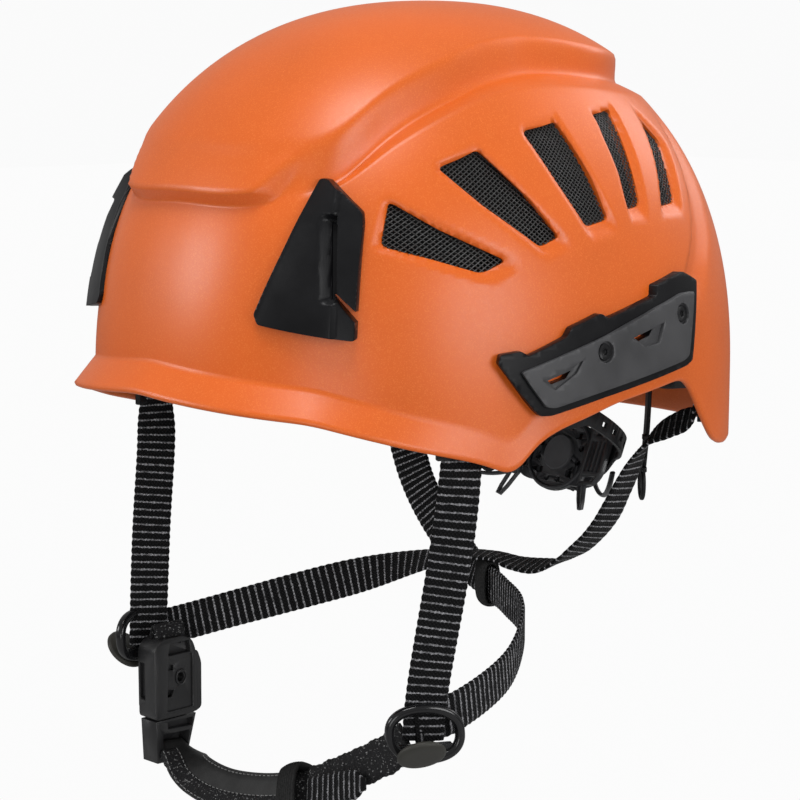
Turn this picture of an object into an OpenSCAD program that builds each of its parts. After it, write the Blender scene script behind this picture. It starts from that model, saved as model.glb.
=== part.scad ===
// Climbing helmet: vented hard shell, foam liner, wheel adjuster and four-point chin harness.
// Frame: the front faces -Y, the wearer's left is +X, +Z is up.
// The origin is the middle of the head opening, at the level of the headband.

/* [Shell] */
// Half width of the dome at its widest level
shell_half_width = 106; // [102:1:110]
// Distance from the origin to the front of the dome
shell_front = 134; // [130:1:138]
// Distance from the origin to the back of the dome
shell_rear = 125; // [121:1:129]
// Height of the dome above its widest level
shell_height = 138; // [134:1:142]
// Level of the widest ring above the headband
shell_level = 11; // [8:1:14]
// Wall of the moulded shell
shell_wall = 2.6; // [2.2:0.1:2.8]
// Rise of the crown above the side panels
crown_rise = 5; // [3:0.5:7]
// Outward flare of the front brim
brim_flare = 8; // [4:1:10]

/* [Liner] */
// Thickness of the foam liner
liner_wall = 17; // [14:1:19]
// Gap between the shell and the liner, which holds the vent mesh
liner_gap = 1.4; // [1.2:0.1:2]

/* [Webbing] */
// Width of the harness webbing
web_w = 15.5; // [14:0.5:17]
// Thickness of the harness webbing
web_t = 1.8; // [1.4:0.1:2.2]

/* [Headband] */
// Half width of the headband
band_half_width = 78; // [76:1:79]
// Thickness of the headband plastic
band_t = 1.6; // [1.4:0.1:2]
// Height of the headband arms
band_h = 14; // [12:1:16]
// Diameter of the adjuster wheel
wheel_d = 26; // [22:1:28]
// Slope of the cradle from the temples down to the nape
cradle_slope = 24; // [22:1:25]

/* [Buckle] */
// Width of the buckle socket
buckle_w = 22; // [20:1:24]
// Height of the buckle socket
buckle_h = 32; // [30:1:34]
// Thickness of the buckle
buckle_t = 10; // [9:0.5:12]

/* [Hidden] */
$fn = 48;

orange = [0.9, 0.4, 0.15];
black = [0.1, 0.1, 0.11];
grey = [0.24, 0.24, 0.25];
foam = [0.16, 0.16, 0.17];
steel = [0.65, 0.66, 0.68];

// Squareness of the dome's outline, where 2 is a plain ellipse
dome_power = 2.26;
// Half height that the dome would have below its widest level
dome_below = 400;
// Rim heights round the left side, by angle from the front: brim, ear corner, notch, nape lobe
rim_heights = [[0, 17], [30, 11], [45, 1], [63, -9], [66, -1], [72, 4], [87, 11], [108, 16],
    [111, 13], [117, -1], [123, -12], [129, -15], [180, -15]];
// Lower edge of the liner by the same angle, cut back over the strap anchors
liner_heights = [[0, 24], [30, 18], [45, 9], [66, 7], [87, 18], [108, 23], [126, 16], [150, 0], [180, -4]];
// Corners of the five vents on the left side, each as [angle from the front, height]
vents = [
    [[40, 84], [39, 69], [57, 59], [62, 63]],
    [[49, 95], [58, 101], [75, 70], [70, 67]],
    [[71, 107], [83, 110], [90, 75], [83, 73]],
    [[98, 112], [108, 114], [102, 79], [97, 78]],
    [[119.5, 112], [124, 101], [116.5, 79], [109, 78]]];
vent_corner = 2;

// ---- Curves and surfaces ----
function ease(t) = let(c = min(max(t, 0), 1)) c * c * (3 - 2 * c);
function footprint(a, t) =
    let(across = abs(cos(a)) / (shell_half_width - t))
    let(along = abs(sin(a)) / ((sin(a) < 0 ? shell_front : shell_rear) - t))
    pow(pow(across, dome_power) + pow(along, dome_power), -1 / dome_power);
function dome_radius(a, b, t) =
    let(flat = cos(b) / footprint(a, t))
    let(tall = abs(sin(b)) / (b < 0 ? dome_below : shell_height - t))
    pow(pow(flat, dome_power) + pow(tall, dome_power), -1 / dome_power);
// Elevation angle at which the dome passes a given height
function dome_angle(a, z, t) =
    let(h = z - shell_level)
    let(share = min(abs(h) / (h < 0 ? dome_below : shell_height - t), 1))
    atan2(h, footprint(a, t) * pow(1 - pow(share, dome_power), 1 / dome_power));
function crown_share(x, y, z) =
    ease((52 - abs(x)) / 14) * ease((z - 70) / 20) * ease((90 - y) / 20);
function flare_share(a, z) = ease((30 - z) / 22) * ease((-sin(a) - 0.45) / 0.5);
// A point of the dome at azimuth a and elevation b, t below the outer surface
function skin(a, b, t) =
    let(r = dome_radius(a, b, t))
    let(z = r * sin(b) + shell_level)
    let(up = crown_rise * crown_share(r * cos(b) * cos(a), r * cos(b) * sin(a), z))
    let(out = brim_flare * flare_share(a, z))
    [((r + up) * cos(b) + out) * cos(a), ((r + up) * cos(b) + out) * sin(a),
        (r + up) * sin(b) + shell_level];
// A point of the left side at an angle from the front and a height, t below the surface
function side(f, z, t) = skin(f - 90, dome_angle(f - 90, z, t), t);
function front_angle(a) = abs(((a + 90 + 180) % 360) - 180);
function rim_height(a) = lookup(front_angle(a), rim_heights);
function liner_height(a) = lookup(front_angle(a), liner_heights);
function unit(v) = v / norm(v);
function spline(p, k, t) =
    let(n = len(p) - 1)
    let(a = p[max(k - 1, 0)], b = p[k], c = p[min(k + 1, n)], d = p[min(k + 2, n)])
    0.5 * (2 * b + (c - a) * t + (2 * a - 5 * b + 4 * c - d) * t * t
        + (3 * b - a - 3 * c + d) * t * t * t);
function along(p, u) = let(s = u * (len(p) - 1), k = min(floor(s), len(p) - 2)) spline(p, k, s - k);

// ---- Building blocks ----
// A closed cap between two depths of the dome, with its rim at heights given by azimuth
module dome_cap(t_out, t_in, rim_at, cols, rows) {
    function ring(t) = [for (i = [0:rows - 1], j = [0:cols - 1])
        let(a = j * 360 / cols, low = dome_angle(a, rim_at(a), t))
        skin(a, low + (89 - low) * i / (rows - 1), t)];
    function at(s, i, j) = s * cols * rows + i * cols + (j % cols);
    points = concat(ring(t_out), ring(t_in), [skin(0, 90, t_out), skin(0, 90, t_in)]);
    pole = 2 * cols * rows;
    outer = [for (i = [0:rows - 2], j = [0:cols - 1])
        each [[at(0, i, j), at(0, i + 1, j), at(0, i + 1, j + 1)],
            [at(0, i, j), at(0, i + 1, j + 1), at(0, i, j + 1)]]];
    inner = [for (i = [0:rows - 2], j = [0:cols - 1])
        each [[at(1, i, j), at(1, i + 1, j + 1), at(1, i + 1, j)],
            [at(1, i, j), at(1, i, j + 1), at(1, i + 1, j + 1)]]];
    rim = [for (j = [0:cols - 1])
        each [[at(0, 0, j), at(0, 0, j + 1), at(1, 0, j + 1)],
            [at(0, 0, j), at(1, 0, j + 1), at(1, 0, j)]]];
    top = [for (j = [0:cols - 1])
        each [[at(0, rows - 1, j), pole, at(0, rows - 1, j + 1)],
            [at(1, rows - 1, j), at(1, rows - 1, j + 1), pole + 1]]];
    polyhedron(points, concat(outer, inner, rim, top), convexity = 6);
}

// A closed slab between the surfaces f(u, v) and g(u, v), with u and v from 0 to 1
module slab(f, g, nu, nv) {
    points = [for (s = [0, 1], i = [0:nu], j = [0:nv])
        s == 0 ? f(i / nu, j / nv) : g(i / nu, j / nv)];
    function at(s, i, j) = (s * (nu + 1) + i) * (nv + 1) + j;
    faces = concat(
        [for (i = [0:nu - 1], j = [0:nv - 1])
            each [[at(0, i, j), at(0, i, j + 1), at(0, i + 1, j + 1)],
                [at(0, i, j), at(0, i + 1, j + 1), at(0, i + 1, j)],
                [at(1, i, j), at(1, i + 1, j + 1), at(1, i, j + 1)],
                [at(1, i, j), at(1, i + 1, j), at(1, i + 1, j + 1)]]],
        [for (i = [0:nu - 1])
            each [[at(0, i, 0), at(0, i + 1, 0), at(1, i + 1, 0)],
                [at(0, i, 0), at(1, i + 1, 0), at(1, i, 0)],
                [at(0, i, nv), at(1, i + 1, nv), at(0, i + 1, nv)],
                [at(0, i, nv), at(1, i, nv), at(1, i + 1, nv)]]],
        [for (j = [0:nv - 1])
            each [[at(0, 0, j), at(1, 0, j + 1), at(0, 0, j + 1)],
                [at(0, 0, j), at(1, 0, j), at(1, 0, j + 1)],
                [at(0, nu, j), at(0, nu, j + 1), at(1, nu, j + 1)],
                [at(0, nu, j), at(1, nu, j + 1), at(1, nu, j)]]]);
    polyhedron(points, faces, convexity = 6);
}

// A slab on the left side of the dome, between two angles, two heights and two depths
module side_slab(f0, f1, z0, z1, t_out, t_in, nu, nv) {
    slab(function(u, v) side(f0 + (f1 - f0) * u, z0 + (z1 - z0) * v, t_out),
        function(u, v) side(f0 + (f1 - f0) * u, z0 + (z1 - z0) * v, t_in), nu, nv);
}

// A ribbon of webbing through the points of a route, with its width along the given directions
module webbing(route, widths, w, t, rings) {
    function centre(u) = along(route, u);
    function across(u) = unit(along(widths, u));
    function heading(u) = centre(min(u + 0.01, 1)) - centre(max(u - 0.01, 0));
    function face(u) = unit(cross(heading(u), across(u)));
    slab(function(u, v) centre(u) + across(u) * w * (v - 0.5) + face(u) * t / 2,
        function(u, v) centre(u) + across(u) * w * (v - 0.5) - face(u) * t / 2, rings, 1);
}

// One vent's cutter, from outside the shell to the depth given
module vent_cutter(corners, grow, depth) {
    middle = [for (k = [0, 1]) (corners[0][k] + corners[1][k] + corners[2][k] + corners[3][k]) / 4];
    hull() {
        for (p = corners, t = [-8, depth]) {
            away = unit([p[0] - middle[0], p[1] - middle[1]]);
            spot = side(p[0] - away[0] * 1.2, p[1] - away[1] * vent_corner, t);
            translate(spot) sphere(r = vent_corner + grow, $fn = 8);
        }
    }
}

module both_sides() {
    children();
    mirror([1, 0, 0]) children();
}

module all_vents(grow, depth) {
    both_sides() for (v = vents) vent_cutter(v, grow, depth);
}

// ---- Shell group ----
screw_spots = [[82, 30], [105, 40]];
window_spots = [[73, 24], [93, 35]];
adapter_t = 5;
insert_d = 7;
insert_h = 6;

// Places a child on the dome with its +Z pointing outward
module on_side(f, z, t) {
    p = side(f, z, t);
    n = cross(side(f + 1, z, t) - side(f - 1, z, t), side(f, z + 1, t) - side(f, z - 1, t));
    translate(p) rotate([0, acos(n[2] / norm(n)), atan2(n[1], n[0])]) children();
}

module outer_shell() {
    color(orange) difference() {
        dome_cap(0, shell_wall, function(a) rim_height(a), 120, 15);
        all_vents(0, shell_wall + 6);
        both_sides() for (s = screw_spots)
            on_side(s[0], s[1], 0) cylinder(d = 4.6, h = 20, center = true, $fn = 16);
    }
}

liner_top = shell_wall + liner_gap;
module foam_liner() {
    color(foam) difference() {
        dome_cap(liner_top, liner_top + liner_wall, function(a) liner_height(a), 72, 12);
        all_vents(0.4, liner_top + liner_wall + 8);
        both_sides() for (s = screw_spots)
            on_side(s[0], s[1], 0) translate([0, 0, -liner_top - insert_h - 1.5])
                cylinder(d = insert_d + 1.4, h = 2 * insert_h, $fn = 16);
    }
}

mesh_t = 0.6;
module vent_mesh() {
    color(black) side_slab(36, 124, 55, 116, shell_wall + 0.4, shell_wall + 0.4 + mesh_t, 26, 8);
}
module vent_mesh_left() { vent_mesh(); }
module vent_mesh_right() { mirror([1, 0, 0]) vent_mesh(); }

// Headlamp clip: a wedge on the shell with a slot for the lamp strap along its rear edge
clip_t = 7;
module lamp_clip() {
    color(black) {
        slab(function(u, v) side(20.5 + 10 * u + 5 * v, 37 + 52 * v, -clip_t + 5 * (1 - u) + 2 * v),
            function(u, v) side(20.5 + 10 * u + 5 * v, 37 + 52 * v, -0.3), 4, 6);
        slab(function(u, v) side(31.9 + 4 * u, 42 + 32 * v, -clip_t + 2 * v),
            function(u, v) side(31.9 + 4 * u, 42 + 32 * v, -0.3), 3, 6);
        slab(function(u, v) side(30.2 + 2 * u, 74.5 + 8 * v, -clip_t + 2 + 2 * v),
            function(u, v) side(30.2 + 2 * u, 74.5 + 8 * v, -0.3), 2, 3);
    }
}
module lamp_clip_left() { lamp_clip(); }
module lamp_clip_right() { mirror([1, 0, 0]) lamp_clip(); }

module rear_lamp_clip() {
    color(black) {
        side_slab(171, 189, 52, 58, -4, -0.3, 6, 2);
        side_slab(171, 189, 57.7, 73.7, -4, -2.6, 6, 4);
    }
}

// Accessory adapter: a curved plate with two windows and two screw holes
function adapter_low(u) = 9 + 13 * u;
function adapter_high(u) = 31 + 22 * u;
function adapter_point(u, v, t) =
    let(f = 61 + 55 * u - 4 * (1 - v) * u + 8 * (1 - v) * (1 - u))
    side(f, adapter_low(u) + (adapter_high(u) - adapter_low(u)) * v, t);
module adapter() {
    color(grey) difference() {
        slab(function(u, v) adapter_point(u, v, -adapter_t),
            function(u, v) adapter_point(u, v, -0.3), 20, 4);
        for (s = screw_spots) on_side(s[0], s[1], 0) {
            cylinder(d = 4.4, h = 20, center = true);
            translate([0, 0, 3]) cylinder(d = 8, h = 10);
        }
        for (w = window_spots) on_side(w[0], w[1], 0) cube([3.8, 9, 24], center = true);
    }
}
module adapter_left() { adapter(); }
module adapter_right() { mirror([1, 0, 0]) adapter(); }

// Screws with a hex drive: one solid each
module adapter_screws() {
    color(black) both_sides() for (s = screw_spots) on_side(s[0], s[1], 0) difference() {
        union() {
            translate([0, 0, 3.1]) cylinder(d = 7.6, h = 2.4);
            translate([0, 0, -7]) cylinder(d = 4, h = 10.2);
        }
        translate([0, 0, 4]) cylinder(d = 3.4, h = 3, $fn = 6);
    }
}
module screw_inserts() {
    color(steel) both_sides() for (s = screw_spots) on_side(s[0], s[1], 0)
        translate([0, 0, -liner_top - insert_h]) difference() {
            cylinder(d = insert_d, h = insert_h);
            translate([0, 0, -1]) cylinder(d = 4.3, h = insert_h + 2);
        }
}

// ---- Pads and front headband ----
liner_in = liner_top + liner_wall;
module crown_pad() {
    pad_gap = 2;
    pad_t = 6;
    color(foam) slab(function(u, v) skin(360 * u * 0.999, 62 + 26 * v, liner_in + pad_gap),
        function(u, v) skin(360 * u * 0.999, 62 + 26 * v, liner_in + pad_gap + pad_t), 36, 3);
}

// A point of the headband: an ellipse round the head, seen by angle from the front
band_front = 101;
function band_point(f, z, t) =
    [(band_half_width - t) * sin(f), -(band_front - 12 - t) * cos(f) - 12, z];
// Angle from the front at which the headband ends, ahead of the sliders' travel
band_end = 78;
module headband_front() {
    color(black) slab(function(u, v) band_point(band_end * (2 * u - 1), -6 + 20 * v, 0),
        function(u, v) band_point(band_end * (2 * u - 1), -6 + 20 * v, band_t), 40, 1);
}
module forehead_pad() {
    color(foam) slab(function(u, v) band_point(-52 + 104 * u, -5 + 22 * v, band_t + 0.4),
        function(u, v) band_point(-52 + 104 * u, -5 + 22 * v, band_t + 5.4), 26, 3);
}

// ---- Adjuster cradle ----
pivot = [0, -12, 8];
slider_d = 5;
slide_travel = 12;
// Guides fixed to the headband's ends, each with a straight slot for a slider
guide_x = 80.2;
guide_t = 2.4;
guide_len = 38;
module temple_guides() {
    color(black) both_sides() translate([guide_x - guide_t / 2, pivot[1], pivot[2]]) difference() {
        union() {
            translate([0, -6, 0]) cube([guide_t, guide_len, 15], center = true);
            translate([-2, -22, 0]) cube([1.7, 4, 10], center = true);
        }
        hull() for (y = [0, -slide_travel])
            translate([0, y, 0]) rotate([0, 90, 0])
                cylinder(d = slider_d + 0.2, h = 10, center = true, $fn = 32);
    }
}
// Sliders: flanged studs that run in the guides and carry the cradle's pivots
module temple_sliders() {
    color(grey) both_sides() translate([0, pivot[1], pivot[2]]) rotate([0, 90, 0]) {
        translate([0, 0, 74.4]) cylinder(d = slider_d, h = 6.1);
        translate([0, 0, 80.5]) cylinder(d = 9, h = 1.2);
    }
}

// Places children in the sloping plane of the cradle
module in_cradle() {
    translate(pivot) rotate([-cradle_slope, 0, 0]) children();
}
cradle_len = 104;
arm_half_width = 76.6;
arm_end = 73;
function arm_point(f, z, t) = [(arm_half_width - t) * cos(f), (cradle_len - t) * sin(f), z];
// Arm of the cradle: a curved band with adjusting slots and a straight rack at its end
module cradle_arm(rack_side) {
    color(black) in_cradle() difference() {
        union() {
            slab(function(u, v) arm_point(arm_end * u, band_h * (v - 0.5), 0),
                function(u, v) arm_point(arm_end * u, band_h * (v - 0.5), band_t), 28, 1);
            translate([20, rack_y, rack_side * 6.35]) cube([9, band_t, 2.3], center = true);
            translate([4, rack_y, rack_side * 6.35]) cube([32, band_t, 2.3], center = true);
        }
        translate([arm_half_width - 3, 0, 0]) rotate([0, 90, 0]) cylinder(d = slider_d + 0.1, h = 12);
        for (f = [30, 43, 56], z = [-3.4, 3.4])
            translate(arm_point(f, z, 0)) rotate([0, 0, 90 + f * 0.92])
                cube([14, 12, 3.4], center = true);
        for (k = [0:13]) translate([-8 + 2 * k, rack_y, rack_side * 5.2])
            cube([1, 4, 1.4], center = true);
    }
}
module cradle_arm_left() { cradle_arm(1); }
module cradle_arm_right() { mirror([1, 0, 0]) cradle_arm(-1); }

// Adjuster: housing and cover, with the racks of both arms and the pinion between them
house_y = 97.4;
house_w = 44;
house_h = 26;
house_t = 1.6;
cover_y = house_y + 4.9;
rack_y = house_y + 1.9;
pinion_r = 4.9;
module rounded_plate(w, h, t, r) {
    rotate([90, 0, 0]) translate([0, 0, -t / 2]) hull() for (x = [-1, 1], z = [-1, 1])
        translate([x * (w / 2 - r), z * (h / 2 - r), 0]) cylinder(r = r, h = t, $fn = 32);
}
module adjuster_housing() {
    color(grey) in_cradle() translate([0, house_y, 0]) difference() {
        union() {
            rounded_plate(house_w, house_h, house_t, 9);
            translate([0, -0.5, 0]) rotate([90, 0, 0]) cylinder(d = 17, h = 1.6);
        }
        for (x = [-19.2:2.6:19.2])
            if (abs(x) > 11.5) translate([x, 0, 0]) cube([1.3, 8, 13], center = true);
        for (k = [0:9]) rotate([0, 36 * k + 18, 0]) translate([10.2, 0, 0]) rotate([90, 0, 0])
            cylinder(d = 1.8, h = 8, center = true);
    }
}
module adjuster_cover() {
    color(black) in_cradle() translate([0, cover_y, 0]) difference() {
        rounded_plate(house_w, house_h - 2, house_t, 9);
        rotate([90, 0, 0]) cylinder(d = 10.4, h = 8, center = true);
    }
}
module adjuster_wheel() {
    color(black) in_cradle() translate([0, cover_y + 1.1, 0]) rotate([-90, 0, 0]) difference() {
        union() {
            cylinder(d = wheel_d, h = 9);
            translate([0, 0, -2.2]) cylinder(d = 10, h = 2.3);
        }
        translate([0, 0, -3]) cylinder(d = 4.1, h = 13);
        for (k = [0:17])
            rotate([0, 0, 20 * k]) translate([wheel_d / 2 + 0.6, 0, 1]) cylinder(d = 2.6, h = 9);
    }
}
module adjuster_pinion() {
    color(grey) in_cradle() translate([0, house_y + 1.1, 0]) rotate([-90, 0, 0]) difference() {
        union() {
            cylinder(r = pinion_r - 1.2, h = 2.7);
            for (k = [0:3])
                rotate([0, 0, 45 * k]) translate([0, 0, 1.35]) cube([2 * pinion_r, 1.5, 2.7], center = true);
        }
        translate([0, 0, -1]) cylinder(d = 4.1, h = 5);
    }
}
module adjuster_axle() {
    color(steel) in_cradle() translate([0, house_y + house_t / 2, 0]) rotate([-90, 0, 0]) {
        cylinder(d = 4, h = 14.4);
        translate([0, 0, 14.4]) cylinder(d = 8, h = 1.4);
    }
}
// Hangers: strips that carry the adjuster from the back of the shell
module hanger() {
    color(black) webbing([[46, 79, 26], [45, 80, 4], [42, 77, -16], [36, 70, -38], [22, 66, -50]],
        [[0.8, -0.6, 0], [0.8, -0.6, 0], [0.85, -0.5, 0], [0.85, -0.45, 0.2], [0.5, -0.2, 0.8]], 8, 1.6, 16);
}
module hanger_left() { hanger(); }
module hanger_right() { mirror([1, 0, 0]) hanger(); }

// ---- Harness ----
front_top = [89, -67, 6];
rear_top = [88, 62.6, 6];
anchor_size = [20, 2.2, 10];
// Anchors: slotted plates just inside the shell, turned to lie along its wall
module strap_anchor(top, turn, out) {
    both_sides() translate([top[0], top[1], top[2] - 6]) rotate([0, 0, turn])
        translate([0, out, 0]) difference() {
            cube(anchor_size, center = true);
            cube([web_w + 0.7, 4, 2.6], center = true);
        }
}
module strap_anchors_front() {
    color(black) strap_anchor(front_top, 67.6, -2.4);
}
module strap_anchors_rear() {
    color(black) strap_anchor(rear_top, -66, 2.4);
}
module front_strap_left() {
    color(black) webbing([[89.1, -66.9, 6], [89.1, -66.9, -8], [86, -69, -40], [75.2, -72.5, -94.4]],
        [[0.38, 0.92, 0], [0.4, 0.92, 0], [0.64, 0.77, 0], [0.47, 0.88, 0]], web_w, web_t, 20);
}
module front_strap_right() {
    color(black) webbing([[-89.1, -66.9, 6], [-89.1, -66.9, -7], [-88.4, -68, -24], [-87, -72, -58],
        [-85.8, -76, -89.4]],
        [[-0.38, 0.92, 0], [-0.38, 0.92, 0], [0.3, 0.95, 0], [0.3, 0.95, 0], [-0.31, 0.95, 0]],
        web_w, web_t, 30);
}
// Left rear anchor to the right divider: lies flat where it crosses over the keeper
left_route = [[88, 62.6, 5], [83.5, 63, -8], [66, 62.5, -26], [50, 60.5, -42], [36, 54, -55], [20, 46, -64],
    [0, 35, -68.2], [-20, 23, -72], [-50, 1, -82], [-74, -34, -92], [-86.3, -60.4, -97.5],
    [-87.1, -72.2, -98]];
left_widths = [[-0.4, 0.91, 0], [-0.5, 0.6, 0.6], [-0.5, 0.5, 0.7], [-0.45, 0.5, 0.75], [-0.4, 0.6, 0.6],
    [-0.5, 0.8, 0.3], [-0.5, 0.85, 0], [-0.5, 0.8, 0.3], [-0.2, 0.4, 0.9], [0, 0, 1], [0, 0, 1], [0, 0, 1]];
module cross_strap_left() {
    color(black) webbing(left_route, left_widths, web_w, web_t, 60);
}
// Right rear anchor to the left divider: runs on edge through the keeper
right_route = [[-88, 62.6, 5], [-86, 61, -12], [-76, 58, -32], [-62, 53, -50], [-42, 48, -66], [-20, 43, -77],
    [0, 34, -80], [20, 24, -81], [46, 8, -84], [68, -22, -94], [78.9, -57.5, -102.5], [77.3, -69, -103]];
right_widths = [[0.4, 0.91, 0], [0.5, 0.8, 0.3], [0.5, 0.7, 0.5], [0.4, 0.5, 0.75], [0.1, 0.4, 0.9],
    [0, 0.3, 0.95], [0, 0, 1], [0, 0, 1], [0, 0, 1], [0, 0, 1], [0, 0, 1], [0, 0, 1]];
module cross_strap_right() {
    color(black) webbing(right_route, right_widths, web_w, web_t, 60);
}
// Keeper: a loop round the webbing where the two rear straps cross
module nape_keeper() {
    color(grey) translate([0, 34, -80]) rotate([0, 0, -27]) difference() {
        cube([10, 8, 19.4], center = true);
        cube([12, 5.6, 17], center = true);
    }
}
// Divider: an oval plate with a slot for each webbing and a hinged cap over its face
plate_t = 3;
cap_t = 2.4;
cap_pivot = [0, -3.4, 10.4];
module divider() {
    color(black) difference() {
        union() {
            hull() for (x = [-2, 2]) translate([x, 0, 0]) rotate([90, 0, 0])
                cylinder(d = 24, h = plate_t, center = true, $fn = 32);
            for (x = [-6, 6]) translate([x, -2.4, cap_pivot[2]]) cube([3, 4.6, 3], center = true);
            translate(cap_pivot) rotate([0, 90, 0]) cylinder(d = 1.5, h = 12, center = true);
        }
        for (z = [-8, 7.6]) translate([0, 0, z]) cube([web_w + 0.6, 3 * plate_t, 2], center = true);
    }
}
module divider_cap() {
    color(grey) difference() {
        union() {
            translate([0, -plate_t / 2 - 0.3, -1.5]) rotate([90, 0, 0]) cylinder(d = 17, h = cap_t);
            translate([0, cap_pivot[1], 7.8]) cube([8, cap_t, 7.6], center = true);
        }
        translate(cap_pivot) rotate([0, 90, 0]) cylinder(d = 1.6, h = 12, center = true);
    }
}
module at_left_divider() { translate([78, -74, -103]) rotate([0, 0, 62]) children(); }
module at_right_divider() { translate([-88.4, -76.8, -98]) rotate([0, 0, -72]) children(); }
module divider_left() { at_left_divider() divider(); }
module divider_right() { at_right_divider() divider(); }
module divider_cap_left() { at_left_divider() divider_cap(); }
module divider_cap_right() { at_right_divider() divider_cap(); }

// ---- Buckle and chin strap ----
buckle_at = [-76, -73, -115];
buckle_turn = 92;
module at_buckle() { translate(buckle_at) rotate([0, 0, buckle_turn]) children(); }
module buckle_loop() {
    color(black) at_buckle() translate([0, 0, buckle_h / 2 + 8]) cube([web_w, 3.6, 14], center = true);
}
// Socket: a box open below, with a window on each edge for the plug's prongs
cavity_w = buckle_w - 2.4;
cavity_t = buckle_t - 3.4;
module buckle_socket() {
    color(black) at_buckle() difference() {
        union() {
            cube([buckle_w, buckle_t, buckle_h], center = true);
            translate([0, 0, buckle_h / 2 + 3]) cube([buckle_w, 6, 8], center = true);
        }
        translate([0, 0, -3]) cube([cavity_w, cavity_t, buckle_h], center = true);
        translate([0, 0, -3.5]) cube([buckle_w + 2, cavity_t, 16], center = true);
        translate([0, 0, buckle_h / 2 + 4.4]) cube([web_w + 0.4, 3.8, 9.4], center = true);
        translate([3, 0, 0]) rotate([90, 0, 0]) cylinder(d = 3.8, h = buckle_t + 2, center = true);
    }
}
// Plug: a body below the socket with a guide tongue and a slot for the chin webbing
module buckle_plug() {
    color(black) at_buckle() translate([0, 0, -buckle_h / 2]) difference() {
        union() {
            translate([0, 0, -9.5]) cube([buckle_w - 2, buckle_t - 2, 18], center = true);
            translate([0, 0, 3]) cube([5, 2.6, 8], center = true);
        }
        translate([0, -4, -12]) cube([web_w + 1.4, buckle_t, 10], center = true);
        for (x = [-1, 1]) translate([prong_root * x, 0, -2.5]) cube([3.8, 4, 6.2], center = true);
    }
}
// Prongs that the fingers squeeze to free the plug
prong_root = 6.9;
prong_drop = 4.4;
module prong(x) {
    color(black) at_buckle() translate([x * prong_root, 0, -buckle_h / 2 - prong_drop]) rotate([90, 0, 0])
        linear_extrude(2.6, center = true) polygon([[-1.2 * x, 0], [1.2 * x, 0], [1.2 * x, 9],
            [1.5 * x, 11], [1.5 * x, 17], [0.6 * x, 20], [-1.2 * x, 18]]);
}
module plug_prong_front() { prong(-1); }
module plug_prong_rear() { prong(1); }

// The chin strap runs from the plug under the chin and up to the left divider
chin_route = [[-75.1, -73, -143], [-66, -74, -145.5], [-50, -78, -148], [-25, -81, -148], [8, -82, -141],
    [36, -80, -128], [58, -77, -116], [71.5, -75.3, -111]];
chin_widths = [[-0.03, 1, 0], [0, 0.97, 0.15], [0.1, 0.7, 0.7], [0, 0.6, 0.8], [-0.1, 0.5, 0.86],
    [-0.3, 0.3, 0.9], [-0.3, 0.2, 0.9], [-0.1, 0, 1]];
sleeve_from = 0.13;
sleeve_to = 0.56;
keeper_share = 0.6;
tail_gap = 3.3;
function piece_of(p, u0, u1, n) = [for (i = [0:n]) along(p, u0 + (u1 - u0) * i / n)];
module chin_webbing() {
    color(black) webbing(chin_route, chin_widths, web_w, web_t, 36);
}
module chin_sleeve() {
    margin = 0.03;
    color(black) difference() {
        webbing(piece_of(chin_route, sleeve_from, sleeve_to, 8),
            piece_of(chin_widths, sleeve_from, sleeve_to, 8), web_w + 3, web_t + 3, 20);
        webbing(piece_of(chin_route, sleeve_from - margin, sleeve_to + margin, 8),
            piece_of(chin_widths, sleeve_from - margin, sleeve_to + margin, 8), web_w + 0.4, web_t + 0.4, 22);
    }
}
// Keeper: an elastic loop round the chin webbing and its folded tail
keeper_w = 9;
keeper_wall = 1.2;
module at_keeper() {
    spot = along(chin_route, keeper_share);
    ahead = unit(along(chin_route, keeper_share + 0.03) - along(chin_route, keeper_share - 0.03));
    translate(spot) rotate([0, -asin(ahead[2]), atan2(ahead[1], ahead[0])]) rotate([-20, 0, 0]) children();
}
module tail_keeper() {
    color(black) at_keeper() translate([0, -1.4, 0]) difference() {
        cube([keeper_w, web_t + 6 + 2 * keeper_wall, web_w + 1.6 + 2 * keeper_wall], center = true);
        cube([keeper_w + 2, web_t + 6, web_w + 1.6], center = true);
    }
}
// Tail: the loose end of the chin webbing, lying in front of it
tail_from = 0.59;
tail_to = 0.8;
tail_w = 11;
module webbing_tail() {
    shift = [0, -tail_gap, 0.4];
    color(black) webbing([for (p = piece_of(chin_route, tail_from, tail_to, 4)) p + shift],
        piece_of(chin_widths, tail_from, tail_to, 4), tail_w, web_t, 10);
}

outer_shell();
foam_liner();
vent_mesh_left();
vent_mesh_right();
lamp_clip_left();
lamp_clip_right();
rear_lamp_clip();
adapter_left();
adapter_right();
adapter_screws();
screw_inserts();
crown_pad();
forehead_pad();
headband_front();
temple_guides();
strap_anchors_front();
strap_anchors_rear();
temple_sliders();
cradle_arm_left();
cradle_arm_right();
adjuster_housing();
adjuster_cover();
adjuster_wheel();
adjuster_pinion();
adjuster_axle();
hanger_left();
hanger_right();
front_strap_left();
front_strap_right();
cross_strap_left();
cross_strap_right();
nape_keeper();
divider_left();
divider_right();
divider_cap_left();
divider_cap_right();
buckle_loop();
buckle_socket();
buckle_plug();
plug_prong_front();
plug_prong_rear();
chin_webbing();
chin_sleeve();
tail_keeper();
webbing_tail();
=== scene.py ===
import bpy
import bmesh
import math
import numpy as np
from mathutils import Vector, Matrix


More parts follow.
